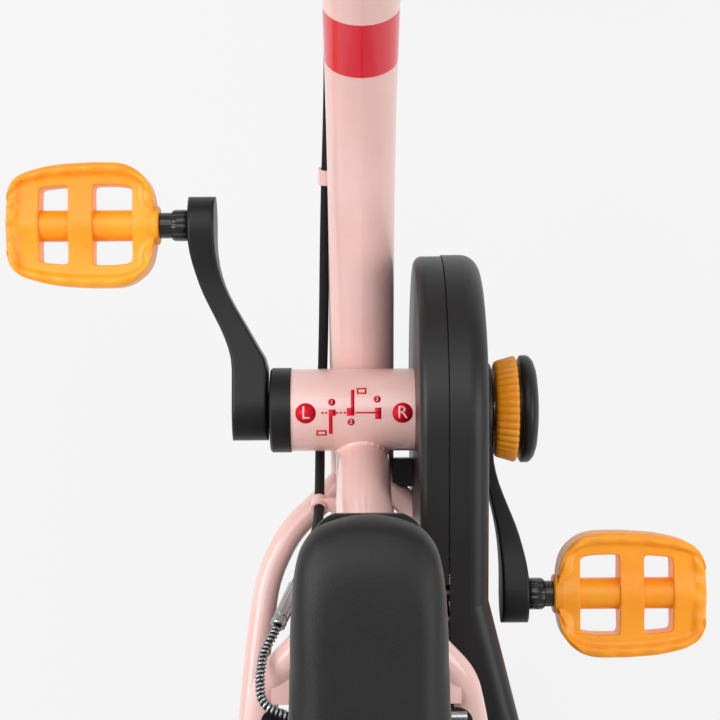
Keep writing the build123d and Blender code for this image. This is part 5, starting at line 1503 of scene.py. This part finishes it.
@dataclass
class Studio:
    """The pale floor, the soft light and the camera."""

    middle: Vector = Vector((0, 0, 0.25))
    daylight: float = 0.55
    floor_half: float = 6.0
    floor_drop: float = 0.0005
    floor_glow: float = 0.845
    lamps: Sequence[tuple[str, tuple[float, float, float], float, float]] = (
        ("left_box", (0.3, 2.0, 2.0), 1.6, 42),
        ("right_box", (-0.2, -2.2, 1.8), 1.6, 26),
        ("top_box", (1.2, 0.2, 2.6), 2.0, 26),
    )

    @staticmethod
    def camera() -> None:
        """Looks straight down on the middle of the bicycle, front upwards."""
        data = bpy.data.cameras.new("camera")
        data.lens, data.sensor_width = 83.2, 36.0
        data.clip_start, data.clip_end = 0.05, 50.0
        camera = bpy.data.objects.new("camera", data)
        camera.location = (-0.0523, 0.0062, 0.978)
        camera.rotation_euler = (0.0, -0.0065, -math.pi / 2 - 0.006)
        bpy.context.scene.collection.objects.link(camera)
        bpy.context.scene.camera = camera

    def lamp(self, name: str, place: Vector, size: float, power: float) -> None:
        """One square soft box that faces the middle of the scene."""
        data = bpy.data.lights.new(name, "AREA")
        data.size, data.energy = size, power
        lamp = bpy.data.objects.new(name, data)
        lamp.location = place
        lamp.rotation_euler = (self.middle - place).to_track_quat("-Z", "Y").to_euler()
        bpy.context.scene.collection.objects.link(lamp)

    def floor(self) -> None:
        """A wide pale floor that stays evenly bright."""
        shape = bmesh.new()
        bmesh.ops.create_grid(shape, x_segments=1, y_segments=1, size=self.floor_half)
        bmesh.ops.translate(shape, verts=shape.verts, vec=(0, 0, -self.floor_drop))
        mesh = bpy.data.meshes.new("floor")
        shape.to_mesh(mesh)
        shape.free()
        material = bpy.data.materials.new("floor_paper")
        material.use_nodes = True
        shader = material.node_tree.nodes["Principled BSDF"]
        shader.inputs["Base Color"].default_value = (0.06, 0.06, 0.06, 1)
        shader.inputs["Roughness"].default_value = 0.9
        shader.inputs["Specular IOR Level"].default_value = 0.1
        shader.inputs["Emission Color"].default_value = (1, 1, 1, 1)
        shader.inputs["Emission Strength"].default_value = self.floor_glow
        mesh.materials.append(material)
        floor = bpy.data.objects.new("floor", mesh)
        bpy.context.scene.collection.objects.link(floor)
        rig.stage(floor)

    def make(self) -> None:
        """Sets up everything that isn't the bicycle."""
        world = bpy.data.worlds.new("studio")
        world.use_nodes = True
        world.node_tree.nodes["Background"].inputs["Color"].default_value = (1, 1, 1, 1)
        world.node_tree.nodes["Background"].inputs["Strength"].default_value = self.daylight
        scene = bpy.context.scene
        scene.world = world
        scene.view_settings.view_transform = "Standard"
        self.camera()
        for name, place, size, power in self.lamps:
            self.lamp(name, Vector(place), size, power)
        self.floor()


@dataclass
class Dresser:
    """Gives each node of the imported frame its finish."""

    paints: Paintbox
    by_slot: dict[str, Finish] = field(
        default_factory=lambda: {
            "pink": PINK_PAINT,
            "black_metal": BLACK_METAL,
            "black_plastic": BLACK_PLASTIC,
            "black_rubber": RUBBER,
            "tyre": TYRE,
            "steel": STEEL,
            "chain_steel": CHAIN_STEEL,
            "orange_plastic": ORANGE,
            "saddle_cover": SADDLE,
            "stand_coat": STAND_COAT,
        }
    )

    def make(self) -> None:
        """Dresses every node."""
        slots = {row["node"]: row["material_slot"] for row in frame["record"]["subparts"]}
        for name, node in frame["nodes"].items():
            if name == "main_tube":
                material = self.paints.banded_tube()
            elif name == "stand_fittings":
                material = self.paints.stand_fittings()
            elif name.startswith("chain_guard"):
                material = self.paints.get(GUARD_PLASTIC)
            else:
                material = self.paints.get(self.by_slot[slots[name]])
            node.data.materials.clear()
            node.data.materials.append(material)
            LOG.info("%s: %s", name, material.name)


def main() -> None:
    """Builds the studio, dresses the frame and adds the detailed pieces."""
    logging.basicConfig(level=logging.INFO, format="%(name)s %(message)s")
    Studio().make()
    paints = Paintbox()
    shop = Workshop(paints)
    Dresser(paints).make()
    Pedal(1, BB.x + 0.089, 0.0986).make(shop, "left_pedal")
    Pedal(-1, BB.x - 0.089, 0.0929).make(shop, "right_pedal")
    Crank(1, 45.0, 62.1, 69.8, 82.7).make(shop, "left_crank", [(9.0, 2.0, 46.0)])
    right_bosses = [(16.6, 39.4, 62.0), (22.3, 56.4, 61.2), (12.0, 36.3, 40.8), (9.0, -1.98, 38.0)]
    Crank(-1, 56.4, 62.0, 65.9, 78.8).make(shop, "right_crank", right_bosses)
    Spindles().make(shop)
    DrawKnob().make(shop)
    SaddleCover().make(shop)
    Wheel("front_wheel", FRONT_AXLE).make(shop)
    Wheel("rear_wheel", REAR_AXLE).make(shop)
    Grip(1).make(shop, "left_grip", ["grips"])
    Grip(-1).make(shop, "right_grip", [])
    Cables().make(shop)
    ShellPrint().make(shop)
    WeldBeads().make(shop)
    Bolts().make(shop)


if __name__ == "__main__":
    main()
    with open("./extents.json", "w") as out:
        json.dump({"cad": [list(c) for c in CAD_BOX], "visual": [list(c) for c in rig.bounds()]}, out)
